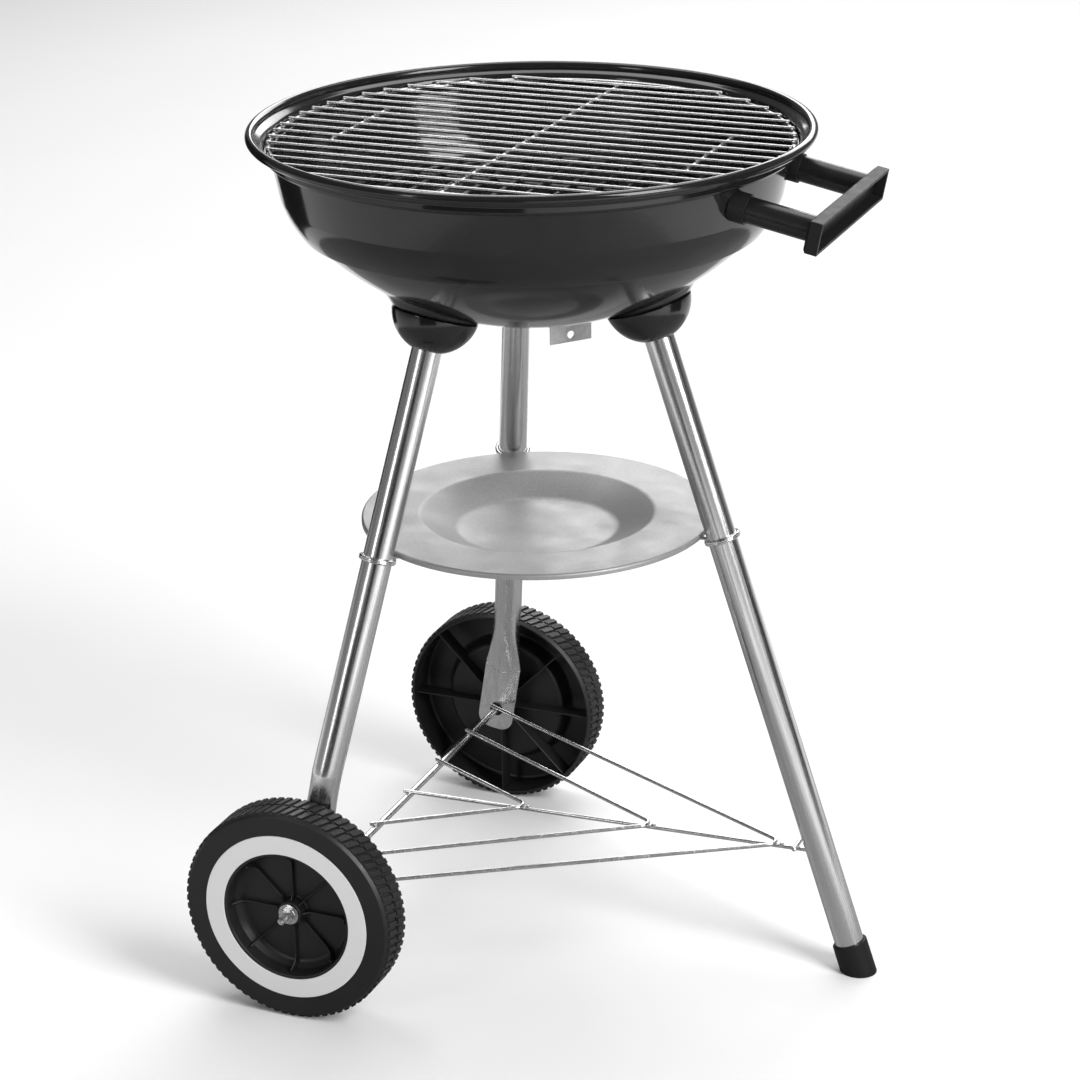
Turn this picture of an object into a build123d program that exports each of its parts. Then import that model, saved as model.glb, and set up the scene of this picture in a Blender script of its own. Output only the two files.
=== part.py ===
from build123d import *
import math
import os

# Kettle charcoal grill on three splayed tubular legs: two carry wheels, the third a foot.
# Millimetres, +Z up. The sub-parts are drawn about the bowl's vertical axis, with +X towards
# the foot and the handle and the axle along Y. SHIFT then moves the origin to the middle of
# the object's footprint, on the ground.

# ---- driving dimensions -------------------------------------------------------------------

# Bowl: pressed, enamelled steel.
RIM_R = 230.0                # outside of the rolled rim
RIM_TOP = 714.0              # height of the rim above the ground
SHEET = 1.5                  # steel and enamel
BEAD_R = 4.0                 # the rolled edge
FLANGE_R = 217.0             # neck under the flared rim
FLANGE_DROP = 10.0           # from the rim's top down to the neck
SHOULDER_DROP = 18.5         # down to the ledge that carries the cooking grate
WALL_TOP_R = 210.5
WALL_FOOT_R = 203.5
WALL_FOOT_DROP = 53.0
BELLY_R = 197.3              # half way round the curve from the wall into the base
BELLY_DROP = 68.3
LEDGE_OUT_R = 188.0          # ledge that carries the charcoal grate
LEDGE_IN_R = 183.5
LEDGE_DROP = 82.0
DISH_R = 132.4               # a point of the shallow base
DISH_DROP = 123.4
BASE_R = 54.0                # flat centre, where the damper turns
BASE_DROP = 155.0

# Legs: bright steel tube, in three vertical planes 120 degrees apart.
LEG_D = 25.0
LEG_WALL = 1.2
LEG_LEAN = 18.3              # degrees from vertical
LEG_GROUND_R = 289.5         # where a leg's axis would reach the ground
LEG_AZIMUTHS = {"foot": 0.0, "rear": 120.0, "front": 240.0}

# Cups between the legs and the bowl.
CUP_R = 36.0
CUP_WALL = 3.0
CUP_TOP_Z = 572.2            # where a leg's axis meets the top face of its cup
PAD_R = 34.0                 # flat seat pressed out of the bowl
PAD_SPREAD = 7.0
PAD_DEPTH = 9.0
CUP_RISE = 5.0               # the ball's centre above the cup's top face
LEG_BOLT_R = 4.0
LEG_BOLT_LENGTH = 24.0
LEG_BOLT_FLATS = 13.0
LEG_BOLT_HEAD = 5.3
LEG_WASHER_R = 10.0
LEG_WASHER = 1.6
LEG_INSERT = 15.0

# Wheels and axle.
WHEEL_R = 93.3
AXLE_R = 3.0
AXLE_BEHIND = 128.5          # from the bowl's axis back to the axle
TREAD_INNER_Y = 207.8
TREAD_OUTER_Y = 244.0
AXLE_END_Y = 254.0
AXLE_FLATS = 11.0
AXLE_NUT = 5.5
AXLE_WASHER_R = 9.0
AXLE_WASHER = 1.2
HUB_R = 11.0
HUB_INNER_Y = 205.4
HUB_OUTER_Y = 237.5
WHEEL_WALL = 5.0
SHOULDER = 3.5               # bevel at each edge of the tread
TREAD_GROOVE = 2.0
WEB_IN = 15.0                # from the wheel's inner plane to the web
WEB_T = 3.5
SPOKES = 8
SPOKE_T = 2.5
SPOKE_SINK = 3.0
SPOKE_RISE = 5.0
TRIM_OUT_R = 73.3
TRIM_IN_R = 56.9
TRIM_SEAT = 0.8
TRIM_T = 1.2

# Flattened ends of the wheel legs.
TAB_W = 35.0
TAB_T = 3.2
TAB_INNER_Y = 200.0
TAB_TOP_Z = 140.0
SQUEEZE_TOP_Z = 200.0        # the tube is round above this height
TAB_BELOW = 20.0             # from the axle down to the tab's end
TAB_CORNER = 12.0
TAB_HOLE_R = 6.5
ROUNDNESS = 0.49             # corner radius of the tube's outline, as a share of its depth
BUSH_FLANGE_R = 10.0
BUSH_FLANGE = 1.6

# Ash tray and its clips.
TRAY_R = 148.0
TRAY_Z = 381.6
TRAY_SHEET = 1.2
TRAY_LIP = 4.5
TRAY_FLAT_R = 99.0
TRAY_FLOOR_R = 67.0
TRAY_DEPTH = 15.0
CLIP_WIRE = 3.0
CLIP_PITCH = 2.8
CLIP_TAIL = 22.0

# Wire rack between the legs: three chevrons, widest first, as (apex X, end Y).
RACK_WIRE = 3.5
CHEVRONS = [("wide", 222.0, 197.5), ("middle", 106.0, 139.0), ("narrow", -11.0, 71.0)]
CHEVRON_BEND = 8.0
SPINE_END_X = 247.0
SPINE_END_Z = 105.7
WIRE_OVERHANG = 4.5          # past the axle's centre line
WELD_SINK = 0.4              # how far welded wires sink into each other
STOP_PIN_R = 2.0
STOP_PIN_LENGTH = 20.0
STOP_PIN_X = 233.0

# Handle: two tubes and a channel-shaped grip.
HANDLE_Y = 66.5
HANDLE_X = 200.0             # a point of each tube's axis
HANDLE_Z = 678.5
HANDLE_DIP = 11.3            # degrees below level
HANDLE_TUBE_R = 10.5
HANDLE_TUBE_WALL = 1.2
SADDLE_R = 12.2
SADDLE_END = 7.0            # distances along a tube from its named point
TUBE_START = 1.0
GRIP_BACK = 60.5
GRIP_DEPTH = 11.5
GRIP_LENGTH = 177.0
GRIP_HEIGHT = 26.0
GRIP_WALL = 2.5
GRIP_BEVEL = 2.0
GRIP_SPIGOT = 12.0
HANDLE_BOLT_R = 3.0
HANDLE_BOLT_FLATS = 10.0
HANDLE_BOLT_HEAD = 4.0
HANDLE_BOLT_LENGTH = 30.0
HANDLE_PAD_R = 9.0
HANDLE_PAD_BACK = 10.0       # from a tube's named point back to the spacer's flat
HANDLE_INSERT = 15.0

# Cooking grate and charcoal grate.
GRATE_RING_R = 211.3
GRATE_RING_WIRE = 5.0
GRATE_BAR_WIRE = 3.0
GRATE_BAR_R = 213.0
GRATE_BARS = 20
GRATE_PITCH = 20.0
GRATE_CROSS_WIRE = 4.0
GRATE_SIDE_CROSS_X = 152.0
GRATE_SIDE_CROSS_LENGTH = 112.0
COAL_RING_R = 184.5
COAL_WIRE = 5.0
COAL_BARS = 15
COAL_PITCH = 24.0
COAL_CROSS_Y = 92.0

# Damper under the bowl.
DAMPER_R = 52.0
DAMPER_SHEET = 1.2
VENT_R = 13.0
VENT_CENTRE_R = 34.0
VENTS = 3
PIVOT_R = 3.0
TAB_ANGLE = 50.0             # direction of the damper's tab, seen from above
DAMPER_TAB_IN = 14.6
DAMPER_TAB_OUT = 53.3
DAMPER_TAB_BOTTOM = 524.0
DAMPER_TAB_SHEET = 1.5
DAMPER_TAB_FOOT = 12.0
DAMPER_TAB_HOLE_R = 3.2
RIVET_R = 2.0
RIVET_HEAD_R = 3.2
RIVET_HEAD = 1.2
PIVOT_HEAD_R = 6.0
PIVOT_HEAD = 2.4
PIVOT_WASHER_R = 9.0
PIVOT_WASHER = 1.2
PIVOT_NUT = 5.0
PIVOT_FLATS = 10.0

GAP = 0.3                    # between pieces that move past each other
RUN = 0.08                   # radial clearance of a running fit
SLIP = 0.02                  # radial clearance of a fixed fit

# Foot cap.
CAP_R = 15.0
CAP_LENGTH = 20.0
CAP_SOLE = 7.0

# ---- derived places -----------------------------------------------------------------------

LEAN = math.radians(LEG_LEAN)
LEG_R = LEG_D / 2
FOOT_REACH = LEG_GROUND_R + CAP_R / math.cos(LEAN)
SHIFT = Pos((RIM_R - FOOT_REACH) / 2, 0, 0)
AXLE_X = -AXLE_BEHIND
BASE_Z = RIM_TOP - BASE_DROP
LEDGE_Z = RIM_TOP - LEDGE_DROP
SHOULDER_Z = RIM_TOP - SHOULDER_DROP
DAMPER_Z = BASE_Z - GAP - DAMPER_SHEET
BIG = 600.0                  # larger than any piece, for cutting tools
STANDING = (Align.CENTER, Align.CENTER, Align.MIN)


def export(name, shape):
    """Write one sub-part in the object's own frame."""
    export_step(SHIFT * shape, f"parts/{name}.step")


def group(shapes):
    """Several equal pieces that share one sub-part."""
    return Compound(list(shapes))


def turned(profile):
    """Revolve a closed XZ profile about the bowl's axis."""
    return revolve(profile, axis=Axis.Z)


def rod(start, end, radius):
    """Round bar from one point to another."""
    line = Line(start, end)
    return sweep(Plane(line @ 0, z_dir=line % 0) * Circle(radius), path=line)


def ring(radius, wire, height):
    """Level wire ring about the bowl's axis, centred at a height."""
    return Pos(0, 0, height) * Torus(radius, wire / 2)


def hexagon(across_flats, thickness, bore):
    """Hex nut or bolt head standing on the XY plane."""
    body = extrude(RegularPolygon(across_flats / 2, 6, major_radius=False), thickness)
    if bore:
        body -= Cylinder(bore, 4 * thickness)
    return body


def washer(outer, bore, thickness):
    """Flat washer standing on the XY plane."""
    disc = Cylinder(outer, thickness, align=STANDING)
    return disc - Cylinder(bore, 4 * thickness)


def post(radius, length):
    """Cylinder standing on the XY plane."""
    return Cylinder(radius, length, align=STANDING)


def leg_plane(leg, height):
    """Plane across a leg at a height, with its Z pointing up along the leg."""
    angle = math.radians(LEG_AZIMUTHS[leg])
    reach = LEG_GROUND_R - height * math.tan(LEAN)
    outward = Vector(math.cos(angle), math.sin(angle), 0)
    up = Vector(0, 0, math.cos(LEAN)) - outward * math.sin(LEAN)
    place = outward * reach + Vector(0, 0, height)
    return Plane(place, x_dir=(-math.sin(angle), math.cos(angle), 0), z_dir=up)


def handle_plane():
    """Plane across the rear handle tube, with its Z pointing out along the tube."""
    dip = math.radians(HANDLE_DIP)
    out = (math.cos(dip), 0, -math.sin(dip))
    return Plane((HANDLE_X, HANDLE_Y, HANDLE_Z), x_dir=(0, 1, 0), z_dir=out)


def across_axle(distance):
    """Plane across the axle on its rear half, with its Z pointing outwards."""
    return Plane((AXLE_X, distance, WHEEL_R), x_dir=(1, 0, 0), z_dir=(0, 1, 0))


def mirrored(shape):
    """The front twin of a piece on the rear side."""
    return mirror(shape, about=Plane.XZ)


def pair(shape):
    """A piece and its front twin, as one sub-part."""
    return group([shape, mirrored(shape)])


# ---- bowl ---------------------------------------------------------------------------------

def bowl_outline():
    """Outside of the bowl's wall, from the damper's flat seat up to the rim."""
    base = Line((0, 0, BASE_Z), (BASE_R, 0, BASE_Z))
    dish = ThreePointArc(base @ 1, (DISH_R, 0, RIM_TOP - DISH_DROP), (LEDGE_IN_R, 0, LEDGE_Z))
    ledge = Line(dish @ 1, (LEDGE_OUT_R, 0, LEDGE_Z))
    wall_foot = (WALL_FOOT_R, 0, RIM_TOP - WALL_FOOT_DROP)
    belly = ThreePointArc(ledge @ 1, (BELLY_R, 0, RIM_TOP - BELLY_DROP), wall_foot)
    wall = Polyline(
        wall_foot,
        (WALL_TOP_R, 0, SHOULDER_Z),
        (FLANGE_R, 0, SHOULDER_Z),
        (FLANGE_R, 0, RIM_TOP - FLANGE_DROP),
        (RIM_R - BEAD_R, 0, RIM_TOP - BEAD_R),
    )
    return Wire(base.edges() + dish.edges() + ledge.edges() + belly.edges() + wall.edges())


def filled(skin, top):
    """Solid of everything inside a skin, up to a height."""
    foot = skin @ 0
    rim = skin @ 1
    lid = Polyline(rim, (rim.X, 0, top), (0, 0, top), foot)
    return turned(make_face(skin.edges() + lid.edges()))


def leg_pads(depth, shrink):
    """Flat-topped swellings of the bowl's skin above the three cups."""
    cone = Cone(PAD_R - shrink, PAD_R + PAD_SPREAD - shrink, PAD_DEPTH, align=STANDING)
    return [leg_plane(leg, CUP_TOP_Z) * Pos(0, 0, depth) * cone for leg in LEG_AZIMUTHS]


def bowl_blank():
    """The bowl as a solid lump, without its hollow."""
    return filled(bowl_outline(), RIM_TOP - BEAD_R / 2) + leg_pads(0, 0)


def redrawn(edge):
    """The same edge as a plain line or arc, whose turned surface cuts cleanly."""
    if edge.geom_type == GeomType.LINE:
        return Line(edge @ 0, edge @ 1).edge()
    return ThreePointArc(edge @ 0, edge @ 0.5, edge @ 1).edge()


def bowl_cavity():
    """The hollow of the bowl, open upwards."""
    inner_skin = offset(bowl_outline(), amount=SHEET, side=Side.RIGHT, closed=False)
    return filled(Wire([redrawn(edge) for edge in inner_skin.edges()]), RIM_TOP + BIG)


def vent_cutters():
    """Round holes that the bowl and the damper share."""
    return [place * Cylinder(VENT_R, 2 * VENT_R) for place in PolarLocations(VENT_CENTRE_R, VENTS)]


def bowl():
    """Pressed bowl with a rolled rim, two inner ledges, air holes and bolt holes."""
    shell = bowl_blank() - bowl_cavity() - leg_pads(SHEET, SHEET)
    shell += ring(RIM_R - BEAD_R, 2 * BEAD_R, RIM_TOP - BEAD_R)
    shell -= [Pos(0, 0, BASE_Z) * hole for hole in vent_cutters()]
    shell -= Pos(0, 0, BASE_Z) * Cylinder(PIVOT_R + SLIP, 2 * VENT_R)
    bolt = Cylinder(LEG_BOLT_R + SLIP, 2 * LEG_BOLT_LENGTH)
    shell -= [leg_plane(leg, CUP_TOP_Z) * bolt for leg in LEG_AZIMUTHS]
    bolt = handle_plane() * Cylinder(HANDLE_BOLT_R + SLIP, 2 * LEG_BOLT_LENGTH)
    return shell - bolt - mirrored(bolt)


# ---- damper -------------------------------------------------------------------------------

def rivet_places():
    """Places of the two rivets in the tab's foot."""
    middle = (DAMPER_TAB_IN + DAMPER_TAB_OUT) / 2
    spread = (DAMPER_TAB_OUT - DAMPER_TAB_IN) / 4
    side = DAMPER_TAB_FOOT / 2
    return [Rot(0, 0, TAB_ANGLE) * Pos(middle + step * spread, side, DAMPER_Z) for step in (-1, 1)]


def rivet_holes():
    """Cutters for the rivets' shanks."""
    return [place * Cylinder(RIVET_R + SLIP, VENT_R) for place in rivet_places()]


def damper_plate():
    """Flat disc under the bowl, with air holes to match the bowl's."""
    disc = Pos(0, 0, DAMPER_Z) * washer(DAMPER_R, PIVOT_R + RUN, DAMPER_SHEET)
    disc -= [Pos(0, 0, DAMPER_Z) * hole for hole in vent_cutters()]
    return disc - rivet_holes()


def damper_tab():
    """Angle bracket that turns the damper: a foot under the plate and an upright with a hole."""
    length = DAMPER_TAB_OUT - DAMPER_TAB_IN
    height = DAMPER_Z - DAMPER_TAB_BOTTOM
    corner = (Align.MIN, Align.MIN, Align.MAX)
    foot = Box(length, DAMPER_TAB_FOOT, DAMPER_TAB_SHEET, align=corner)
    upright = Box(length, DAMPER_TAB_SHEET, height, align=corner)
    hole = Rot(90, 0, 0) * Cylinder(DAMPER_TAB_HOLE_R, DAMPER_TAB_FOOT)
    bracket = foot + upright - Pos(length / 2, 0, 2 * DAMPER_TAB_HOLE_R - height) * hole
    return Rot(0, 0, TAB_ANGLE) * Pos(DAMPER_TAB_IN, 0, DAMPER_Z) * bracket - rivet_holes()


def damper_rivets():
    """Two rivets, their heads under the tab's foot and their shanks flush with the plate."""
    head = Pos(0, 0, -DAMPER_TAB_SHEET - RIVET_HEAD) * post(RIVET_HEAD_R, RIVET_HEAD)
    shank = Pos(0, 0, -DAMPER_TAB_SHEET) * post(RIVET_R, DAMPER_TAB_SHEET + DAMPER_SHEET)
    return group(place * (head + shank) for place in rivet_places())


def damper_pivot():
    """Screw that the damper turns on, its head below and its end inside the bowl."""
    head_z = DAMPER_Z - GAP - PIVOT_WASHER - PIVOT_HEAD
    top = BASE_Z + SHEET + PIVOT_NUT + PIVOT_HEAD
    head = Cone(PIVOT_HEAD_R / 2, PIVOT_HEAD_R, PIVOT_HEAD, align=STANDING)
    return Pos(0, 0, head_z) * (head + post(PIVOT_R, top - head_z))


def damper_washer():
    """Washer between the damper and its screw's head."""
    disc = washer(PIVOT_WASHER_R, PIVOT_R + SLIP, PIVOT_WASHER)
    return Pos(0, 0, DAMPER_Z - GAP - PIVOT_WASHER) * disc


def damper_nut():
    """Nut inside the bowl, on the flat base."""
    return Pos(0, 0, BASE_Z + SHEET) * hexagon(PIVOT_FLATS, PIVOT_NUT, PIVOT_R + SLIP)


# ---- legs ---------------------------------------------------------------------------------

def leg_length(low):
    """Distance along a leg from a height up to the floor of its cup."""
    return (CUP_TOP_Z - low) / math.cos(LEAN) - CUP_WALL


def straight_tube(leg, low):
    """Round tube along a leg, from a height up to its cup."""
    length = leg_length(low)
    return leg_plane(leg, low) * (post(LEG_R, length) - post(LEG_R - LEG_WALL, length))


def spine_point(x):
    """Point of the rack's spine, which rises gently from the axle to the foot leg."""
    start_z = WHEEL_R + AXLE_R + RACK_WIRE / 2 - WELD_SINK
    rise = (SPINE_END_Z - start_z) / (SPINE_END_X - AXLE_X)
    return (x, 0, start_z + rise * (x - AXLE_X))


def foot_leg():
    """Plain leg with a hole on its inner side for the end of the rack's spine."""
    hole = rod(spine_point(SPINE_END_X - LEG_D), spine_point(SPINE_END_X), RACK_WIRE / 2 + SLIP)
    return straight_tube("foot", CAP_SOLE) - hole


def tab_up():
    """Direction of the flattened tab, which leans with its leg as seen along the axle."""
    lean = math.tan(LEAN) * math.cos(math.radians(180 - LEG_AZIMUTHS["rear"]))
    return Vector(lean, 0, 1).normalized()


def tube_section(width, depth):
    """Outline of the tube, round or squeezed flat."""
    return RectangleRounded(width, depth, ROUNDNESS * depth)


def squeezed_neck():
    """Stretch of the rear leg that changes from round to flat."""
    turn = LEG_AZIMUTHS["rear"] - 90
    round_end = leg_plane("rear", SQUEEZE_TOP_Z) * Rot(0, 0, -turn) * tube_section(LEG_D, LEG_D)
    up = tab_up()
    rise = TAB_TOP_Z - WHEEL_R
    crease = Vector(AXLE_X, TAB_INNER_Y + TAB_T / 2, WHEEL_R) + up * (rise / up.Z)
    flat_end = Plane(crease, x_dir=(up.Z, 0, -up.X), z_dir=up) * tube_section(TAB_W, TAB_T)
    return loft([round_end, flat_end])


def axle_tab():
    """Flattened end of the rear leg: rounded below, with a wide hole round the axle."""
    up = tab_up()
    rise = (TAB_TOP_Z - WHEEL_R) / up.Z
    face = Plane((AXLE_X, TAB_INNER_Y + TAB_T, WHEEL_R), x_dir=(up.Z, 0, -up.X), z_dir=(0, -1, 0))
    blade = Pos(0, (rise - TAB_BELOW) / 2) * Rectangle(TAB_W, rise + TAB_BELOW)
    blade = fillet(blade.vertices().sort_by(Axis.Y)[:2], TAB_CORNER)
    return extrude(face * (blade - Circle(TAB_HOLE_R)), TAB_T)


def wheel_leg():
    """Rear leg: a round tube whose lower end is squeezed into an upright tab."""
    return straight_tube("rear", SQUEEZE_TOP_Z) + squeezed_neck() + axle_tab()


def leg_cup(leg):
    """Hollow half ball between the bowl and a leg, with a collar round the tube."""
    below = Pos(0, 0, -CUP_R) * Cylinder(CUP_R, 2 * CUP_R)
    ball = Pos(0, 0, CUP_RISE) * Sphere(CUP_R) & below
    hollow = Pos(0, 0, CUP_RISE) * Sphere(CUP_R - CUP_WALL)
    collar = Pos(0, 0, -CUP_R) * post(LEG_R + CUP_WALL, CUP_R)
    cup = ball - hollow + (collar & ball)
    cup -= Pos(0, 0, -CUP_R - CUP_WALL) * post(LEG_R + SLIP, CUP_R)
    cup -= Cylinder(LEG_BOLT_R + SLIP, CUP_R)
    return leg_plane(leg, CUP_TOP_Z) * cup


def leg_insert(leg):
    """Threaded plug inside the top of a leg tube."""
    plug = washer(LEG_R - LEG_WALL - SLIP, LEG_BOLT_R + SLIP, LEG_INSERT)
    return leg_plane(leg, CUP_TOP_Z) * Pos(0, 0, -CUP_WALL - LEG_INSERT) * plug


def leg_washer(leg):
    """Washer inside the bowl, on the flat of the seat above a cup."""
    disc = washer(LEG_WASHER_R, LEG_BOLT_R + SLIP, LEG_WASHER)
    return leg_plane(leg, CUP_TOP_Z) * Pos(0, 0, SHEET) * disc


def leg_bolt(leg):
    """Bolt from inside the bowl through the cup into the leg's plug."""
    seat = SHEET + LEG_WASHER
    bolt = Pos(0, 0, seat) * hexagon(LEG_BOLT_FLATS, LEG_BOLT_HEAD, 0)
    bolt += Pos(0, 0, seat - LEG_BOLT_LENGTH) * post(LEG_BOLT_R, LEG_BOLT_LENGTH)
    return leg_plane(leg, CUP_TOP_Z) * bolt


def foot_cap():
    """Plastic cap on the foot leg, cut level where it stands."""
    cap = Pos(0, 0, -CAP_LENGTH) * post(CAP_R, 2 * CAP_LENGTH) - post(LEG_R + SLIP, CAP_LENGTH)
    above_ground = Pos(LEG_GROUND_R, 0, 0) * post(CAP_LENGTH, 2 * CAP_LENGTH)
    return leg_plane("foot", CAP_SOLE) * cap & above_ground


# ---- axle and wheels ----------------------------------------------------------------------

def axle():
    """Plain rod through both legs and wheels."""
    return across_axle(0) * Cylinder(AXLE_R, 2 * AXLE_END_Y)


def axle_bush():
    """Flanged bush in the tab's hole, between the leg and the wheel's hub."""
    bush = washer(TAB_HOLE_R - SLIP, AXLE_R + SLIP, TAB_T)
    bush += Pos(0, 0, TAB_T) * washer(BUSH_FLANGE_R, AXLE_R + SLIP, BUSH_FLANGE)
    return across_axle(TAB_INNER_Y) * bush


def axle_washer():
    """Washer outside the wheel's hub."""
    return across_axle(HUB_OUTER_Y + GAP) * washer(AXLE_WASHER_R, AXLE_R + SLIP, AXLE_WASHER)


def axle_nut():
    """Nut on the end of the axle."""
    nut = hexagon(AXLE_FLATS, AXLE_NUT, AXLE_R + SLIP)
    return across_axle(HUB_OUTER_Y + GAP + AXLE_WASHER) * nut


def wheel_section():
    """Half of the wheel's section: tread, side wall, sunk web and hub, as (radius, along)."""
    width = TREAD_OUTER_Y - TREAD_INNER_Y
    hub_in = HUB_INNER_Y - TREAD_INNER_Y
    hub_out = HUB_OUTER_Y - TREAD_INNER_Y
    tread_in = WHEEL_R - WHEEL_WALL
    web_out = WEB_IN + WEB_T
    side_in = width - WHEEL_WALL
    seat = width - TRIM_SEAT
    outline = [
        (AXLE_R + RUN, hub_in), (HUB_R, hub_in), (HUB_R, WEB_IN), (TRIM_IN_R, WEB_IN),
        (TRIM_IN_R + WHEEL_WALL, side_in), (tread_in, side_in), (tread_in, 0),
        (WHEEL_R - SHOULDER, 0), (WHEEL_R, SHOULDER), (WHEEL_R, width - SHOULDER),
        (WHEEL_R - SHOULDER, width), (TRIM_OUT_R, width), (TRIM_OUT_R, seat), (TRIM_IN_R, seat),
        (TRIM_IN_R - WHEEL_WALL / 2, seat), (TRIM_IN_R - WHEEL_WALL, web_out), (HUB_R, web_out),
        (HUB_R, hub_out), (AXLE_R + RUN, hub_out),
    ]
    return make_face(Polyline([(radius, 0, along) for radius, along in outline], close=True))


def spoke(inner, outer, low, high):
    """Radial rib between two radii and two levels."""
    middle = ((inner + outer) / 2, 0, (low + high) / 2)
    return Pos(middle) * Box(outer - inner, SPOKE_T, high - low)


def wheel():
    """Moulded rear wheel: the tread, the sunk web and eight ribs on each face."""
    width = TREAD_OUTER_Y - TREAD_INNER_Y
    start = HUB_R - SPOKE_T
    rib = spoke(start, TRIM_IN_R, SPOKE_SINK, WEB_IN + WEB_T / 2)
    rib += spoke(TRIM_IN_R - SPOKE_T, WHEEL_R - WHEEL_WALL / 2, SPOKE_SINK, width - WHEEL_WALL / 2)
    rib += spoke(start, TRIM_IN_R - WHEEL_WALL, WEB_IN + WEB_T / 2, WEB_IN + WEB_T + SPOKE_RISE)
    body = turned(wheel_section()) + [place * rib for place in PolarLocations(0, SPOKES)]
    groove = Pos(0, 0, width / 2) * washer(WHEEL_R + GAP, WHEEL_R - TREAD_GROOVE, TREAD_GROOVE)
    return across_axle(TREAD_INNER_Y) * (body - groove)


def wheel_trim():
    """Pale ring let into the side wall of the rear wheel."""
    seat = TREAD_OUTER_Y - TRIM_SEAT
    return across_axle(seat) * washer(TRIM_OUT_R - SLIP, TRIM_IN_R, TRIM_T)


# ---- wire rack ----------------------------------------------------------------------------

def rack_spine():
    """Middle wire of the rack, from the axle into the foot leg."""
    return rod(spine_point(AXLE_X - WIRE_OVERHANG), spine_point(SPINE_END_X), RACK_WIRE / 2)


def chevron(apex_x, end_y):
    """Wire bent to a V, its ends welded on the axle and its apex on the spine."""
    start_z = spine_point(AXLE_X)[2]
    apex_z = spine_point(apex_x)[2] + RACK_WIRE - WELD_SINK
    past = WIRE_OVERHANG / (apex_x - AXLE_X)
    end = (AXLE_X - WIRE_OVERHANG, end_y, start_z - past * (apex_z - start_z))
    other_end = (end[0], -end[1], end[2])
    path = FilletPolyline(end, (apex_x, 0, apex_z), other_end, radius=CHEVRON_BEND)
    return sweep(Plane(path @ 0, z_dir=path % 0) * Circle(RACK_WIRE / 2), path=path)


def rack_stop_pin():
    """Short pin across the spine that bears on the foot leg."""
    height = spine_point(STOP_PIN_X)[2] + RACK_WIRE / 2 + STOP_PIN_R - WELD_SINK
    return Pos(STOP_PIN_X, 0, height) * Rot(90, 0, 0) * Cylinder(STOP_PIN_R, STOP_PIN_LENGTH)


# ---- ash tray -----------------------------------------------------------------------------

def ash_tray():
    """Pressed tray: a sunk floor, a wide flat rim and a turned-down edge."""
    top = Polyline(
        (0, 0, TRAY_Z - TRAY_DEPTH),
        (TRAY_FLOOR_R, 0, TRAY_Z - TRAY_DEPTH),
        (TRAY_FLAT_R, 0, TRAY_Z),
        (TRAY_R, 0, TRAY_Z),
        (TRAY_R, 0, TRAY_Z - TRAY_LIP),
    )
    return turned(make_face(offset(top, amount=TRAY_SHEET, side=Side.LEFT).edges()))


def tray_clip(leg):
    """Spring clip: two turns of wire round a leg and a tail under the tray's edge."""
    turn_r = LEG_R + CLIP_WIRE / 2 + SLIP
    coil = Torus(turn_r, CLIP_WIRE / 2) + Pos(0, 0, -CLIP_PITCH) * Torus(turn_r, CLIP_WIRE / 2)
    tail_z = TRAY_Z - TRAY_LIP - CLIP_WIRE / 2 - SLIP
    plane = leg_plane(leg, tail_z + turn_r * math.sin(LEAN))
    centre = Vector(plane.origin.X, plane.origin.Y, 0)
    inward = centre * (-1 / centre.length)
    start = centre + inward * (turn_r * math.cos(LEAN)) + Vector(0, 0, tail_z)
    tail = rod(start, start + inward * CLIP_TAIL, CLIP_WIRE / 2)
    return plane * coil + tail


# ---- handle -------------------------------------------------------------------------------

def handle_tube():
    """Rear tube between the bowl and the grip."""
    length = GRIP_BACK - TUBE_START
    tube = post(HANDLE_TUBE_R, length) - post(HANDLE_TUBE_R - HANDLE_TUBE_WALL, length)
    return handle_plane() * Pos(0, 0, TUBE_START) * tube


def handle_saddle():
    """Collar outside the bowl, shaped to its wall, that the rear tube stands in."""
    collar = Pos(0, 0, -SADDLE_END) * post(SADDLE_R, 2 * SADDLE_END)
    collar -= Pos(0, 0, TUBE_START) * post(HANDLE_TUBE_R + SLIP, SADDLE_END)
    collar -= Cylinder(HANDLE_BOLT_R + SLIP, 4 * SADDLE_END)
    return handle_plane() * collar - filled(bowl_outline(), RIM_TOP)


def handle_pad():
    """Spacer inside the bowl, shaped to its wall, that carries the rear handle bolt's head."""
    spacer = Pos(0, 0, -HANDLE_PAD_BACK) * washer(HANDLE_PAD_R, HANDLE_BOLT_R + SLIP, SADDLE_END)
    return handle_plane() * spacer & bowl_cavity()


def handle_bolt():
    """Bolt from inside the bowl into the plug of the rear tube."""
    head = hexagon(HANDLE_BOLT_FLATS, HANDLE_BOLT_HEAD, 0)
    shank = Pos(0, 0, HANDLE_BOLT_HEAD) * post(HANDLE_BOLT_R, HANDLE_BOLT_LENGTH)
    return handle_plane() * Pos(0, 0, -HANDLE_PAD_BACK - HANDLE_BOLT_HEAD) * (head + shank)


def handle_insert():
    """Threaded plug inside the rear tube's end."""
    plug = washer(HANDLE_TUBE_R - HANDLE_TUBE_WALL - SLIP, HANDLE_BOLT_R + SLIP, HANDLE_INSERT)
    return handle_plane() * Pos(0, 0, TUBE_START) * plug


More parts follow.
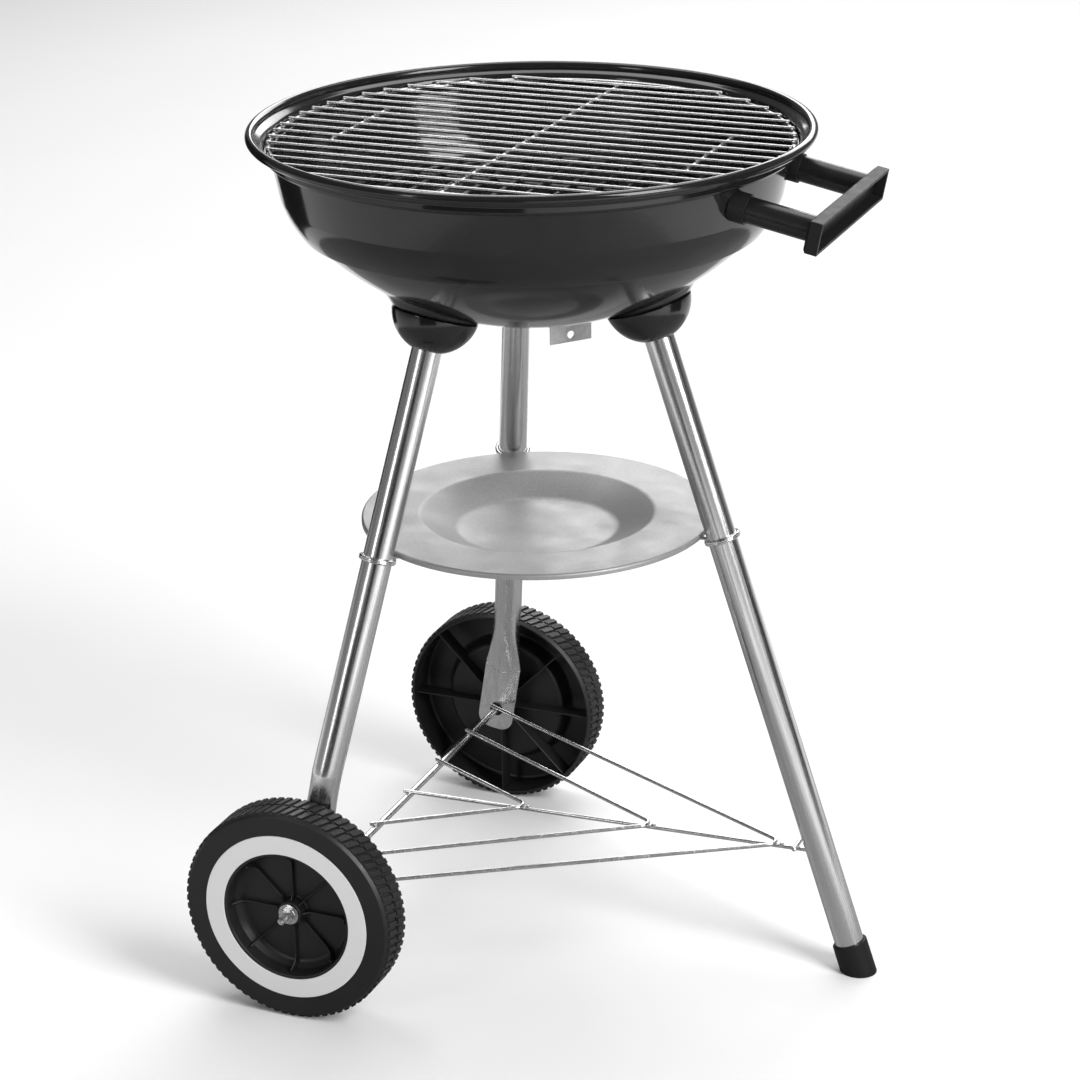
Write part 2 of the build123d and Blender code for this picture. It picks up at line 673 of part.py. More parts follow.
def handle_grip():
    """Channel-shaped grip, open outwards, with a spigot in each tube."""
    plane = handle_plane()
    plane.origin = (HANDLE_X, 0, HANDLE_Z)
    block = Pos(0, 0, GRIP_BACK) * Box(GRIP_LENGTH, GRIP_HEIGHT, GRIP_DEPTH, align=STANDING)
    block = chamfer(block.edges().group_by(Axis.Z)[0], GRIP_BEVEL)
    hollow = Box(GRIP_LENGTH - 2 * GRIP_WALL, GRIP_HEIGHT - 2 * GRIP_WALL, GRIP_DEPTH, align=STANDING)
    grip = block - Pos(0, 0, GRIP_BACK + GRIP_WALL) * hollow
    spigot = Pos(0, 0, GRIP_BACK - GRIP_SPIGOT) * post(
        HANDLE_TUBE_R - HANDLE_TUBE_WALL - SLIP, GRIP_SPIGOT + GRIP_WALL / 2)
    grip += [Pos(side * HANDLE_Y, 0, 0) * spigot for side in (-1, 1)]
    return plane * grip


# ---- grates -------------------------------------------------------------------------------

def bar_across(offset_y, half_length, radius, height):
    """Straight level bar parallel to X."""
    return rod((-half_length, offset_y, height), (half_length, offset_y, height), radius)


def chord(radius, distance):
    """Half the length of a chord of a circle."""
    return math.sqrt(radius ** 2 - distance ** 2)


def evenly(count, pitch):
    """Places of evenly spaced bars about the middle."""
    return [(i - (count - 1) / 2) * pitch for i in range(count)]


COOK_RING_Z = SHOULDER_Z + SHEET + GAP + GRATE_RING_WIRE / 2
COOK_BAR_Z = COOK_RING_Z + (GRATE_RING_WIRE + GRATE_BAR_WIRE) / 2 - WELD_SINK
COOK_CROSS_Z = COOK_RING_Z + (GRATE_RING_WIRE - GRATE_CROSS_WIRE) / 2
COAL_RING_Z = LEDGE_Z + SHEET + GAP + COAL_WIRE / 2
COAL_BAR_Z = COAL_RING_Z + COAL_WIRE - WELD_SINK


def cooking_bars():
    """Parallel bars of the cooking grate, on top of its ring."""
    radius = GRATE_BAR_WIRE / 2
    return group(
        bar_across(y, chord(GRATE_BAR_R, y), radius, COOK_BAR_Z)
        for y in evenly(GRATE_BARS, GRATE_PITCH)
    )


def cooking_cross_wires():
    """One full wire and two short ones that tie the cooking grate's bars from below."""
    radius = GRATE_CROSS_WIRE / 2
    half = GRATE_SIDE_CROSS_LENGTH / 2
    reach = GRATE_RING_R - GRATE_RING_WIRE / 2 + WELD_SINK
    full = bar_across(0, reach, radius, COOK_CROSS_Z)
    side = bar_across(GRATE_SIDE_CROSS_X, half, radius, COOK_CROSS_Z)
    return group(Rot(0, 0, 90) * wire for wire in (full, side, mirrored(side)))


def charcoal_bars():
    """Parallel bars of the charcoal grate, square to those above."""
    radius = COAL_WIRE / 2
    return group(
        Rot(0, 0, 90) * bar_across(x, chord(COAL_RING_R, x), radius, COAL_BAR_Z)
        for x in evenly(COAL_BARS, COAL_PITCH)
    )


def charcoal_cross_wires():
    """Two wires that tie the charcoal grate's bars from below."""
    reach = chord(COAL_RING_R - COAL_WIRE, COAL_CROSS_Y)
    return group(
        bar_across(y, reach, COAL_WIRE / 2, COAL_RING_Z)
        for y in (-COAL_CROSS_Y, COAL_CROSS_Y)
    )


# ---- write every sub-part -----------------------------------------------------------------

def twins():
    """Pieces that exist once at the rear and once, mirrored, at the front."""
    return {
        "leg": wheel_leg(),
        "wheel": wheel(),
        "wheel_trim": wheel_trim(),
        "handle_tube": handle_tube(),
    }


def single_pieces():
    """Pieces that stand alone, and groups of equal fasteners."""
    return {
        "bowl": bowl(),
        "damper_plate": damper_plate(),
        "damper_tab": damper_tab(),
        "damper_rivets": damper_rivets(),
        "damper_pivot": damper_pivot(),
        "damper_washer": damper_washer(),
        "damper_nut": damper_nut(),
        "leg_foot": foot_leg(),
        "leg_inserts": group(leg_insert(leg) for leg in LEG_AZIMUTHS),
        "leg_washers": group(leg_washer(leg) for leg in LEG_AZIMUTHS),
        "leg_bolts": group(leg_bolt(leg) for leg in LEG_AZIMUTHS),
        "foot_cap": foot_cap(),
        "axle": axle(),
        "axle_bushes": pair(axle_bush()),
        "axle_washers": pair(axle_washer()),
        "axle_nuts": pair(axle_nut()),
        "rack_spine": rack_spine(),
        "rack_stop_pin": rack_stop_pin(),
        "ash_tray": ash_tray(),
        "handle_saddles": pair(handle_saddle()),
        "handle_pads": pair(handle_pad()),
        "handle_bolts": pair(handle_bolt()),
        "handle_inserts": pair(handle_insert()),
        "handle_grip": handle_grip(),
        "cooking_grate_ring": ring(GRATE_RING_R, GRATE_RING_WIRE, COOK_RING_Z),
        "cooking_grate_bars": cooking_bars(),
        "cooking_grate_cross_wires": cooking_cross_wires(),
        "charcoal_grate_ring": ring(COAL_RING_R, COAL_WIRE, COAL_RING_Z),
        "charcoal_grate_bars": charcoal_bars(),
        "charcoal_grate_cross_wires": charcoal_cross_wires(),
    }


os.makedirs("parts", exist_ok=True)
for name, shape in single_pieces().items():
    export(name, shape)
for name, shape in twins().items():
    export(f"{name}_rear", shape)
    export(f"{name}_front", mirrored(shape))
for leg in LEG_AZIMUTHS:
    export(f"leg_cup_{leg}", leg_cup(leg))
    export(f"tray_clip_{leg}", tray_clip(leg))
for size, apex_x, end_y in CHEVRONS:
    export(f"rack_chevron_{size}", chevron(apex_x, end_y))
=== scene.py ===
# %% [markdown]
# # A kettle grill, finished piece by piece
#
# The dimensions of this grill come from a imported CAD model, which is loaded as a fixed frame.
# Blender adds what a CAD solid lacks: rolled edges, weld beads, tread lugs, threads and the
# finishes of enamel, plated tube, pressed steel and moulded plastic.
# A hard object like this could be built from modifiers on simple shapes, or in mesh code.
# Mesh code is used here, because every piece has a maker's drawing that code can follow.

# %% Load the frame
import math

import bmesh
import bpy
from mathutils import Matrix, Vector


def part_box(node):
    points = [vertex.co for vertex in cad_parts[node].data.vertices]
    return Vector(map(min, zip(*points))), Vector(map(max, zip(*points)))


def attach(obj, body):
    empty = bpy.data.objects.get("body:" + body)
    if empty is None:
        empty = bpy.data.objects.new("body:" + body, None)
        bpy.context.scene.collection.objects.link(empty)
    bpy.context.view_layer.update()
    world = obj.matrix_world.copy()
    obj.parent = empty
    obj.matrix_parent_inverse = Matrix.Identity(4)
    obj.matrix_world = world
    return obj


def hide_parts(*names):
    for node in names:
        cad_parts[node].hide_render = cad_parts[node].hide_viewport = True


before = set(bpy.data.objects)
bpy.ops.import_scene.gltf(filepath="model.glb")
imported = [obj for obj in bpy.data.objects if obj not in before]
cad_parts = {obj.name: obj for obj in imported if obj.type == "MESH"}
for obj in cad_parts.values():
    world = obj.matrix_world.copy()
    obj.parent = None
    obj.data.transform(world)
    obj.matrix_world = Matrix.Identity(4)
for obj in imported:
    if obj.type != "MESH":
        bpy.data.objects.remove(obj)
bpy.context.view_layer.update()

# %% [markdown]
# ## Where things are
#
# All drawing is done in millimetres about the bowl's upright axis, as on the maker's drawing,
# and turned into metres when a mesh is made. The frame's own boxes say where that axis stands
# and how high the rim and the axle are, so nothing has to be fitted by eye.

# %% The drawing's axis and units
MM = 0.001
bowl_low, bowl_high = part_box("bowl")
axle_low, axle_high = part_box("axle")
BOWL_X = (bowl_low.x + bowl_high.x) / 2
RIM_R = (bowl_high.x - bowl_low.x) / 2 / MM
RIM_TOP = bowl_high.z / MM
AXLE_X = ((axle_low.x + axle_high.x) / 2 - BOWL_X) / MM
AXLE_Z = (axle_low.z + axle_high.z) / 2 / MM
AXLE_R = (axle_high.z - axle_low.z) / 2 / MM
AXLE_END = axle_high.y / MM
HERE = Matrix.Identity(4)
print("rim radius", round(RIM_R, 1), "rim top", round(RIM_TOP, 1))
print("axle at", round(AXLE_X, 1), round(AXLE_Z, 1))

# %% [markdown]
# ## A small kit of mesh makers
#
# A shape here is a pair: its points, and its faces as lists of point numbers. Most of the grill
# is either turned on an axis or bent from wire, so two makers do most of the work. The lathe
# turns a drawn outline; the wire maker carries a circle along a path. Blender's Screw modifier
# and bevelled curves do the same, but plain points can still be pressed and shaped afterwards.

# %% Easing corners and drawing arcs
def eased(corners, radius, closed=True, steps=4):
    """Outline with its corners rounded; a corner may carry its own radius as a third number."""
    points = []
    last = len(corners) - 1
    for i, corner in enumerate(corners):
        here = Vector(corner[:2])
        bend = corner[2] if len(corner) > 2 else radius
        if bend == 0 or (not closed and i in (0, last)):
            points.append(here)
            continue
        back = Vector(corners[i - 1][:2]) - here
        onward = Vector(corners[(i + 1) % len(corners)][:2]) - here
        half = back.angle(onward) / 2
        if half > math.radians(89):
            points.append(here)
            continue
        reach = min(bend / math.tan(half), 0.45 * back.length, 0.45 * onward.length)
        bend = reach * math.tan(half)
        middle = here + (back.normalized() + onward.normalized()).normalized() * (bend / math.sin(half))
        start = here + back.normalized() * reach - middle
        end = here + onward.normalized() * reach - middle
        first = math.atan2(start.y, start.x)
        sweep = math.remainder(math.atan2(end.y, end.x) - first, 2 * math.pi)
        for k in range(steps + 1):
            angle = first + sweep * k / steps
            points.append(middle + bend * Vector((math.cos(angle), math.sin(angle))))
    return points


def arc_through(a, b, c, steps):
    """Points of the arc from a to c through b, without its two ends."""
    a, b, c = Vector(a), Vector(b), Vector(c)
    d = 2 * ((a - c).x * (b - c).y - (b - c).x * (a - c).y)
    p, q = (a - c).length_squared, (b - c).length_squared
    middle = c + Vector(((b - c).y * p - (a - c).y * q, (a - c).x * q - (b - c).x * p)) / d
    first = math.atan2(a.y - middle.y, a.x - middle.x)
    sweep = math.remainder(math.atan2(c.y - middle.y, c.x - middle.x) - first, 2 * math.pi)
    size = (a - middle).length
    angles = [first + sweep * k / steps for k in range(1, steps)]
    return [(middle.x + size * math.cos(t), middle.y + size * math.sin(t), 0) for t in angles]


def inset(line, amount):
    """An open outline moved sideways, to its left as one goes along it."""
    moved = []
    for i, point in enumerate(line):
        run = line[min(i + 1, len(line) - 1)] - line[max(i - 1, 0)]
        moved.append(point + Vector((-run.y, run.x)).normalized() * amount)
    return moved


print("an eased square has", len(eased([(0, 0), (9, 0), (9, 9), (0, 9)], 2)), "points")


# %% The lathe
def lathe(outline, steps=192):
    """Turn a closed (radius, height) outline about Z."""
    points, faces, rows = [], [], []
    turns = [2 * math.pi * i / steps for i in range(steps)]
    for radius, height in outline:
        if radius < 1e-6:
            rows.append([len(points)] * steps)
            points.append(Vector((0, 0, height)))
        else:
            rows.append(list(range(len(points), len(points) + steps)))
            points += [Vector((radius * math.cos(t), radius * math.sin(t), height)) for t in turns]
    for low, high in zip(rows, rows[1:] + rows[:1]):
        for i in range(steps):
            j = (i + 1) % steps
            face = list(dict.fromkeys((low[i], low[j], high[j], high[i])))
            if len(face) > 2:
                faces.append(face)
    return points, faces


print("a turned disc has", len(lathe([(0, 0), (5, 0), (5, 1), (0, 1)], 12)[1]), "faces")


# %% Wire, sections and blocks
def skinned(rings, closed=False):
    """Faces between equal rings of points; open ends are closed with a flat."""
    count = len(rings[0])
    points = [p for ring in rings for p in ring]
    faces = []
    for i in range(len(rings) if closed else len(rings) - 1):
        low, high = i * count, (i + 1) % len(rings) * count
        faces += [(low + k, low + (k + 1) % count, high + (k + 1) % count, high + k) for k in range(count)]
    if not closed:
        faces += [tuple(range(count)), tuple(range(len(points) - count, len(points)))]
    return points, faces


def wire(path, radius, sides=16, closed=False):
    """Round wire along a path, its cut ends lightly chamfered."""
    path = [Vector(p) for p in path]
    stations = [(p, radius) for p in path]
    if not closed:
        for end, inner in ((0, 1), (-1, -2)):
            step = (path[inner] - path[end]).normalized() * radius * 0.35
            stations[end] = (path[end] + step, radius)
            edge = (path[end], radius * 0.68)
            stations.insert(0 if end == 0 else len(stations), edge)
    centres = [s[0] for s in stations]
    count = len(centres)
    rings, side = [], None
    for i, (centre, size) in enumerate(stations):
        after = centres[(i + 1) % count] if closed or i < count - 1 else centres[i]
        before = centres[i - 1] if closed or i > 0 else centres[i]
        along = (after - before).normalized()
        side = along.orthogonal() if side is None else side - along * side.dot(along)
        side = side.normalized()
        other = along.cross(side)
        turns = [2 * math.pi * k / sides for k in range(sides)]
        rings.append([centre + (side * math.cos(t) + other * math.sin(t)) * size for t in turns])
    return skinned(rings, closed)


def bead(centre, size, flat=0.7):
    """Small lump of weld metal."""
    rows = [(size * math.cos(t), size * flat * math.sin(t)) for t in
            [math.radians(a) for a in (-90, -55, -20, 20, 55, 90)]]
    points, faces = lathe(rows, 10)
    return [p + Vector(centre) for p in points], faces


def slab(outline, thickness):
    """Flat shape in XZ with a thickness along Y."""
    half = thickness / 2
    return skinned([[Vector((x, side * half, z)) for x, z in outline] for side in (-1, 1)])


def joined(shapes):
    """Several shapes as one."""
    points, faces = [], []
    for more_points, more_faces in shapes:
        start = len(points)
        points += more_points
        faces += [[start + i for i in face] for face in more_faces]
    return points, faces


def placed(shape, place):
    """A shape carried to another place."""
    return [place @ p for p in shape[0]], shape[1]


square_ring = wire([(1, 0, 0), (0, 1, 0), (-1, 0, 0), (0, -1, 0)], 0.1, closed=True)
print("a wire ring has", len(square_ring[0]), "points")


# %% [markdown]
# ## Making a piece
#
# Every piece gets the same last steps: metres, outward normals, smooth shading that keeps hard
# edges, a finish, and a body to ride on. A piece keeps its own frame, so that the grain of a
# leg's finish can run along the leg. Weighted normals keep flat faces flat beside round edges.

# %% From shape to piece
def as_metres(place):
    """The same place with its shift in metres, moved to the bowl's axis."""
    shifted = place.copy()
    shifted.translation = place.translation * MM + Vector((BOWL_X, 0, 0))
    return shifted


def tidy_mesh(mesh, sharp):
    """Outward normals, and smooth shading with hard edges past an angle."""
    work = bmesh.new()
    work.from_mesh(mesh)
    bmesh.ops.recalc_face_normals(work, faces=work.faces)
    work.to_mesh(mesh)
    work.free()
    mesh.shade_smooth()
    mesh.set_sharp_from_angle(angle=math.radians(sharp))


def remember_drawing(mesh, place):
    """Keep each point's place on its own drawing, so that grain can follow the piece."""
    back = as_metres(place).inverted()
    drawn = mesh.attributes.get("drawn") or mesh.attributes.new("drawn", "FLOAT_VECTOR", "POINT")
    for value, point in zip(drawn.data, mesh.vertices):
        value.vector = back @ point.co


def piece(name, shape, slot, body="frame", nodes=(), place=HERE, bevel=0, sharp=38):
    """Make one piece, drawn in millimetres in its own frame, give it its finish and let it ride."""
    mesh = bpy.data.meshes.new(name)
    world = as_metres(place)
    mesh.from_pydata([world @ (p * MM) for p in shape[0]], [], shape[1])
    tidy_mesh(mesh, sharp)
    remember_drawing(mesh, place)
    made = bpy.data.objects.new(name, mesh)
    bpy.context.scene.collection.objects.link(made)
    dress(made, slot, bevel)
    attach(made, body)
    if nodes:
        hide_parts(*nodes)
    print("made", name, "with", len(shape[0]), "points")
    return made


def dress(made, slot, bevel):
    """Finish, slot and the two modifiers that every hard piece gets."""
    made.data.materials.clear()
    made.data.materials.append(FINISH[slot])
    if bevel:
        edge = made.modifiers.new("softened edges", "BEVEL")
        edge.width = bevel * MM
        edge.segments = 2
        edge.limit_method = "ANGLE"
        edge.angle_limit = math.radians(40)
    normals = made.modifiers.new("weighted normals", "WEIGHTED_NORMAL")
    normals.keep_sharp = True


def bored(made, cutter, place=HERE):
    """Cut a shape, drawn in the piece's own frame, out of a piece."""
    mesh = bpy.data.meshes.new("cutter")
    world = as_metres(place)
    mesh.from_pydata([world @ (p * MM) for p in cutter[0]], [], cutter[1])
    tidy_mesh(mesh, 38)
    tool = bpy.data.objects.new("cutter", mesh)
    bpy.context.scene.collection.objects.link(tool)
    cut = made.modifiers.new("cut", "BOOLEAN")
    cut.object = tool
    cut.operation = "DIFFERENCE"
    cut.solver = "EXACT"
    made.modifiers.move(len(made.modifiers) - 1, 0)
    for other in made.modifiers[1:]:
        other.show_viewport = False
    bpy.context.view_layer.update()
    result = bpy.data.meshes.new_from_object(made.evaluated_get(bpy.context.evaluated_depsgraph_get()))
    made.modifiers.remove(cut)
    for other in made.modifiers:
        other.show_viewport = True
    made.data = result
    tidy_mesh(result, 38)
    remember_drawing(result, place)
    bpy.data.objects.remove(tool)
    print("bored", made.name, "now", len(result.vertices), "points")


def keep(node, slot, bevel):
    """Keep a CAD node whose shape is right: weld its seams, soften its edges, finish it."""
    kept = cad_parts[node]
    seams = kept.modifiers.new("closed seams", "WELD")
    seams.merge_threshold = 0.01 * MM
    dress(kept, slot, bevel)
    print("kept", node)


# %% [markdown]
# ## Finishes
#
# Each finish is a Principled shader whose plain numbers sit on its own sockets. The detail that
# makes it believable comes from small procedural textures: a noise that varies the roughness, as
# fingers, polish and paint do, and a bump at the scale of the real surface. Noise is measured in
# cycles per metre, so 400 means grain about two and a half millimetres across.

# %% A kit for finishes
FINISH = {}


def new_finish(slot, colour, metallic=0.0, **sockets):
    """An empty finish: one Principled shader with its plain values set."""
    made = bpy.data.materials.new(slot)
    made.use_nodes = True
    shader = made.node_tree.nodes["Principled BSDF"]
    shader.inputs["Base Color"].default_value = (*colour, 1)
    shader.inputs["Metallic"].default_value = metallic
    for name, value in sockets.items():
        shader.inputs[name.replace("_", " ")].default_value = value
    FINISH[slot] = made
    return made


def add(finish, kind, **values):
    """Add a node and set its plain values."""
    node = finish.node_tree.nodes.new(kind)
    for name, value in values.items():
        if hasattr(node, name):
            setattr(node, name, value)
        else:
            node.inputs[name.replace("_", " ")].default_value = value
    return node


def grain(finish, scale, stretch=None, detail=3.0):
    """Noise over the piece; a stretch draws it out along the piece's own drawing."""
    if stretch:
        where = add(finish, "ShaderNodeAttribute", attribute_name="drawn")
        out = where.outputs["Vector"]
    else:
        where = add(finish, "ShaderNodeTexCoord")
        out = where.outputs["Object"]
    shape = add(finish, "ShaderNodeMapping")
    shape.inputs["Scale"].default_value = stretch or (1, 1, 1)
    noise = add(finish, "ShaderNodeTexNoise", Scale=scale, Detail=detail)
    link = finish.node_tree.links.new
    link(out, shape.inputs["Vector"])
    link(shape.outputs["Vector"], noise.inputs["Vector"])
    return noise.outputs["Fac"]


def spread(finish, fac, low, high, start=0.3, end=0.7):
    """Turn a noise into a number between two values."""
    ramp = add(finish, "ShaderNodeMapRange")
    ramp.inputs["From Min"].default_value = start
    ramp.inputs["From Max"].default_value = end
    ramp.inputs["To Min"].default_value = low
    ramp.inputs["To Max"].default_value = high
    finish.node_tree.links.new(fac, ramp.inputs["Value"])
    return ramp.outputs["Result"]


def tinted(finish, fac, dark, light):
    """Let a noise move the colour between two tones."""
    ramp = add(finish, "ShaderNodeValToRGB")
    ramp.color_ramp.elements[0].position = 0.35
    ramp.color_ramp.elements[1].position = 0.65
    ramp.color_ramp.elements[0].color = (*dark, 1)
    ramp.color_ramp.elements[1].color = (*light, 1)
    link = finish.node_tree.links.new
    link(fac, ramp.inputs["Fac"])
    link(ramp.outputs["Color"], finish.node_tree.nodes["Principled BSDF"].inputs["Base Color"])


def rough(finish, fac, low, high):
    """Let a noise move the roughness."""
    shader = finish.node_tree.nodes["Principled BSDF"]
    finish.node_tree.links.new(spread(finish, fac, low, high), shader.inputs["Roughness"])


def bumpy(finish, fac, depth_mm, strength=1.0):
    """Raise the surface a little where a noise is high."""
    bump = add(finish, "ShaderNodeBump")
    bump.inputs["Distance"].default_value = depth_mm * MM
    bump.inputs["Strength"].default_value = strength
    link = finish.node_tree.links.new
    link(fac, bump.inputs["Height"])
    link(bump.outputs["Normal"], finish.node_tree.nodes["Principled BSDF"].inputs["Normal"])


def grey(value):
    """A neutral colour."""
    return (value, value, value)


print("finish kit ready")

# %% [markdown]
# ### Enamel, paint and plastics
#
# Vitreous enamel is glass fused on steel: deep black under a smooth coat, with the faintest
# orange peel. Tube paint is thinner and a little duller. Moulded plastic has no coat; spark
# eroded moulds leave a fine even texture on it, coarser on the wheels than on the cups.

# %% Black finishes
enamel = new_finish("black_enamel", grey(0.011), Specular_IOR_Level=0.36, Coat_Weight=0.15,
                    Coat_Roughness=0.05)
rough(enamel, grain(enamel, 22), 0.09, 0.16)
bumpy(enamel, grain(enamel, 210, detail=1.0), 0.02)

paint = new_finish("black_paint", grey(0.010), Specular_IOR_Level=0.35, Coat_Weight=0.1, Coat_Roughness=0.12)
rough(paint, grain(paint, 60), 0.24, 0.36)
bumpy(paint, grain(paint, 700, detail=1.0), 0.012)

cup_plastic = new_finish("cup_plastic", grey(0.010), Specular_IOR_Level=0.50)
rough(cup_plastic, grain(cup_plastic, 45), 0.11, 0.18)
bumpy(cup_plastic, grain(cup_plastic, 900), 0.006)

black_plastic = new_finish("black_plastic", grey(0.012), Specular_IOR_Level=0.16)
rough(black_plastic, grain(black_plastic, 120), 0.42, 0.52)
bumpy(black_plastic, grain(black_plastic, 1600), 0.015)

wheel_plastic = new_finish("wheel_plastic", grey(0.012), Specular_IOR_Level=0.40)
rough(wheel_plastic, grain(wheel_plastic, 70), 0.36, 0.50)
bumpy(wheel_plastic, grain(wheel_plastic, 1300), 0.02)
tinted(wheel_plastic, grain(wheel_plastic, 14), grey(0.0105), grey(0.0145))

pale_trim = new_finish("pale_trim", grey(0.70), Specular_IOR_Level=0.4)
rough(pale_trim, grain(pale_trim, 150), 0.42, 0.52)
tinted(pale_trim, grain(pale_trim, 900), grey(0.685), grey(0.715))
bumpy(pale_trim, grain(pale_trim, 1400), 0.01)
print("black finishes:", len(FINISH))

# %% [markdown]
# ### Metals
#
# Drawn and plated tube reflects well, but its fine lengthwise marks pull each reflection into
# a streak. Stretching a noise a hundred times along the tube gives those marks. Galvanised sheet
# shows zinc crystals, which a cell texture imitates. The tray is sheet with a satin silver coat.

# %% Bright tube and wire
tube = new_finish("bright_tube", grey(0.62), 1.0)
streaks = grain(tube, 900, (1, 1, 0.012), 4.0)
rough(tube, streaks, 0.17, 0.30)
bumpy(tube, streaks, 0.012)
tinted(tube, grain(tube, 260, (1, 1, 0.02)), grey(0.70), grey(0.82))

bright_wire = new_finish("bright_wire", grey(0.62), 1.0)
rough(bright_wire, grain(bright_wire, 420), 0.16, 0.30)
bumpy(bright_wire, grain(bright_wire, 1100), 0.012)
tinted(bright_wire, grain(bright_wire, 90), grey(0.66), grey(0.80))

chromed_wire = new_finish("chromed_wire", grey(0.76), 1.0)
rough(chromed_wire, grain(chromed_wire, 300), 0.24, 0.32)
bumpy(chromed_wire, grain(chromed_wire, 900), 0.010)
tinted(chromed_wire, grain(chromed_wire, 60), grey(0.38), grey(0.47))

# Charcoal grate wire: painted shade, its steel coloured nearly black to stand for the dark depth of the bowl
# under the cooking grate.
plain_wire = new_finish("plain_wire", (0.13, 0.128, 0.125), 1.0)
rough(plain_wire, grain(plain_wire, 300), 0.32, 0.50)
bumpy(plain_wire, grain(plain_wire, 1000), 0.02)
tinted(plain_wire, grain(plain_wire, 70), (0.07, 0.069, 0.067), (0.11, 0.108, 0.106))

zinc = new_finish("zinc_fasteners", grey(0.66), 1.0)
rough(zinc, grain(zinc, 500), 0.16, 0.32)
bumpy(zinc, grain(zinc, 1500), 0.01)
tinted(zinc, grain(zinc, 200), (0.58, 0.58, 0.57), (0.72, 0.72, 0.71))
print("bright metals:", len(FINISH))

# %% Sheet metals
tray_steel = new_finish("tray_steel", grey(0.34), 0.60, Specular_IOR_Level=0.5)
rough(tray_steel, grain(tray_steel, 40), 0.44, 0.54)
bumpy(tray_steel, grain(tray_steel, 1500), 0.012)
tinted(tray_steel, grain(tray_steel, 1100, detail=4.0), grey(0.30), grey(0.38))

galvanised = new_finish("galvanised_steel", grey(0.55), 0.9)
spangle = add(galvanised, "ShaderNodeTexVoronoi", Scale=260.0)
spangle.inputs["Randomness"].default_value = 1.0
where = add(galvanised, "ShaderNodeTexCoord")
galvanised.node_tree.links.new(where.outputs["Object"], spangle.inputs["Vector"])
tone = add(galvanised, "ShaderNodeRGBToBW")
galvanised.node_tree.links.new(spangle.outputs["Color"], tone.inputs["Color"])
rough(galvanised, tone.outputs["Val"], 0.34, 0.52)
tinted(galvanised, tone.outputs["Val"], grey(0.50), grey(0.62))
bumpy(galvanised, grain(galvanised, 900), 0.01)
print("all finishes:", sorted(FINISH))

# %% [markdown]
# ## The bowl
#
# A kettle bowl is one disc of steel, pressed and spun: a flat centre for the damper, a dish, a
# narrow ledge that shows outside as a crease, a steep wall, a second ledge for the cooking grate,
# and a rolled rim. That the lower ledge holds the charcoal grate is a guess. A lathe is the
# natural tool. The three flat seats for the legs are then pressed into its points, just as the
# tool presses them into the steel.

# %% The bowl's outline
SHEET = 1.5
BASE_Z = RIM_TOP - 155.0
LEDGE_Z = RIM_TOP - 82.0
LEDGE_IN_R = 183.5
LEDGE_OUT_R = 188.0
SHOULDER_Z = RIM_TOP - 18.5
BEAD_R = 4.0
BEAD_AT = Vector((RIM_R - BEAD_R, RIM_TOP - BEAD_R))

wall_foot = (203.5, RIM_TOP - 53.0)
outside = eased(
    [(0, BASE_Z), (54, BASE_Z, 8)]
    + arc_through((54, BASE_Z), (132.4, RIM_TOP - 123.4), (LEDGE_IN_R, LEDGE_Z), 64)
    + [(LEDGE_IN_R, LEDGE_Z, 1.6), (LEDGE_OUT_R, LEDGE_Z, 1.2)]
    + arc_through((LEDGE_OUT_R, LEDGE_Z), (197.3, RIM_TOP - 68.3), wall_foot, 22)
    + [(*wall_foot, 8), (210.5, SHOULDER_Z, 2.4), (217, SHOULDER_Z, 3), (217, RIM_TOP - 10, 4),
       (225.0, RIM_TOP - 2 * BEAD_R + 0.2)],
    3, closed=False, steps=5)
inside = inset(outside, SHEET)[:-1]
inside[0].x = 0
roll = [BEAD_AT + BEAD_R * Vector((math.cos(math.radians(a)), math.sin(math.radians(a))))
        for a in range(-75, 216, 15)]
bowl_outline = outside[:-1] + roll + inside[::-1]
print("the bowl's outline has", len(bowl_outline), "points")

# %% Leg frames and the pressed seats
LEAN = math.radians(18.3)
LEG_GROUND_R = 289.5
CUP_TOP_Z = 572.2
LEGS = {"foot": 0, "rear": 120, "front": 240}


def leg_frame(leg, height):
    """Frame across a leg at a height, its Z up along the leg."""
    angle = math.radians(LEGS[leg])
    outward = Vector((math.cos(angle), math.sin(angle), 0))
    up = Vector((0, 0, math.cos(LEAN))) - outward * math.sin(LEAN)
    side = Vector((-math.sin(angle), math.cos(angle), 0))
    made = Matrix((side, up.cross(side), up)).transposed().to_4x4()
    made.translation = outward * (LEG_GROUND_R - height * math.tan(LEAN)) + Vector((0, 0, height))
    return made


SEATS = [(leg_frame(leg, CUP_TOP_Z), leg_frame(leg, CUP_TOP_Z).inverted()) for leg in LEGS]
SEAT_R = 34.0
SEAT_FLARE = 7.0
PRESS_SOFTNESS = 1.0


def pressed(point, depth):
    """Press a point of the bowl down onto the flat seats of the legs."""
    for seat, to_seat in SEATS:
        local = to_seat @ point
        across = math.hypot(local.x, local.y)
        if across > SEAT_R + 2 * SEAT_FLARE or local.z > 4 * SEAT_FLARE:
            continue
        floor = depth + max(0.0, across - SEAT_R + depth)
        gap = local.z - floor
        local.z = (local.z + floor - math.sqrt(gap * gap + PRESS_SOFTNESS)) / 2
        point = seat @ local
    return point


BOWL_STEPS = 300
points, faces = lathe(bowl_outline, BOWL_STEPS)
outer_count = 1 + (len(outside) - 2) * BOWL_STEPS
points = [pressed(p, 0 if i < outer_count else SHEET) for i, p in enumerate(points)]
bowl = piece("bowl_shell", (points, faces), "black_enamel", nodes=["bowl"])

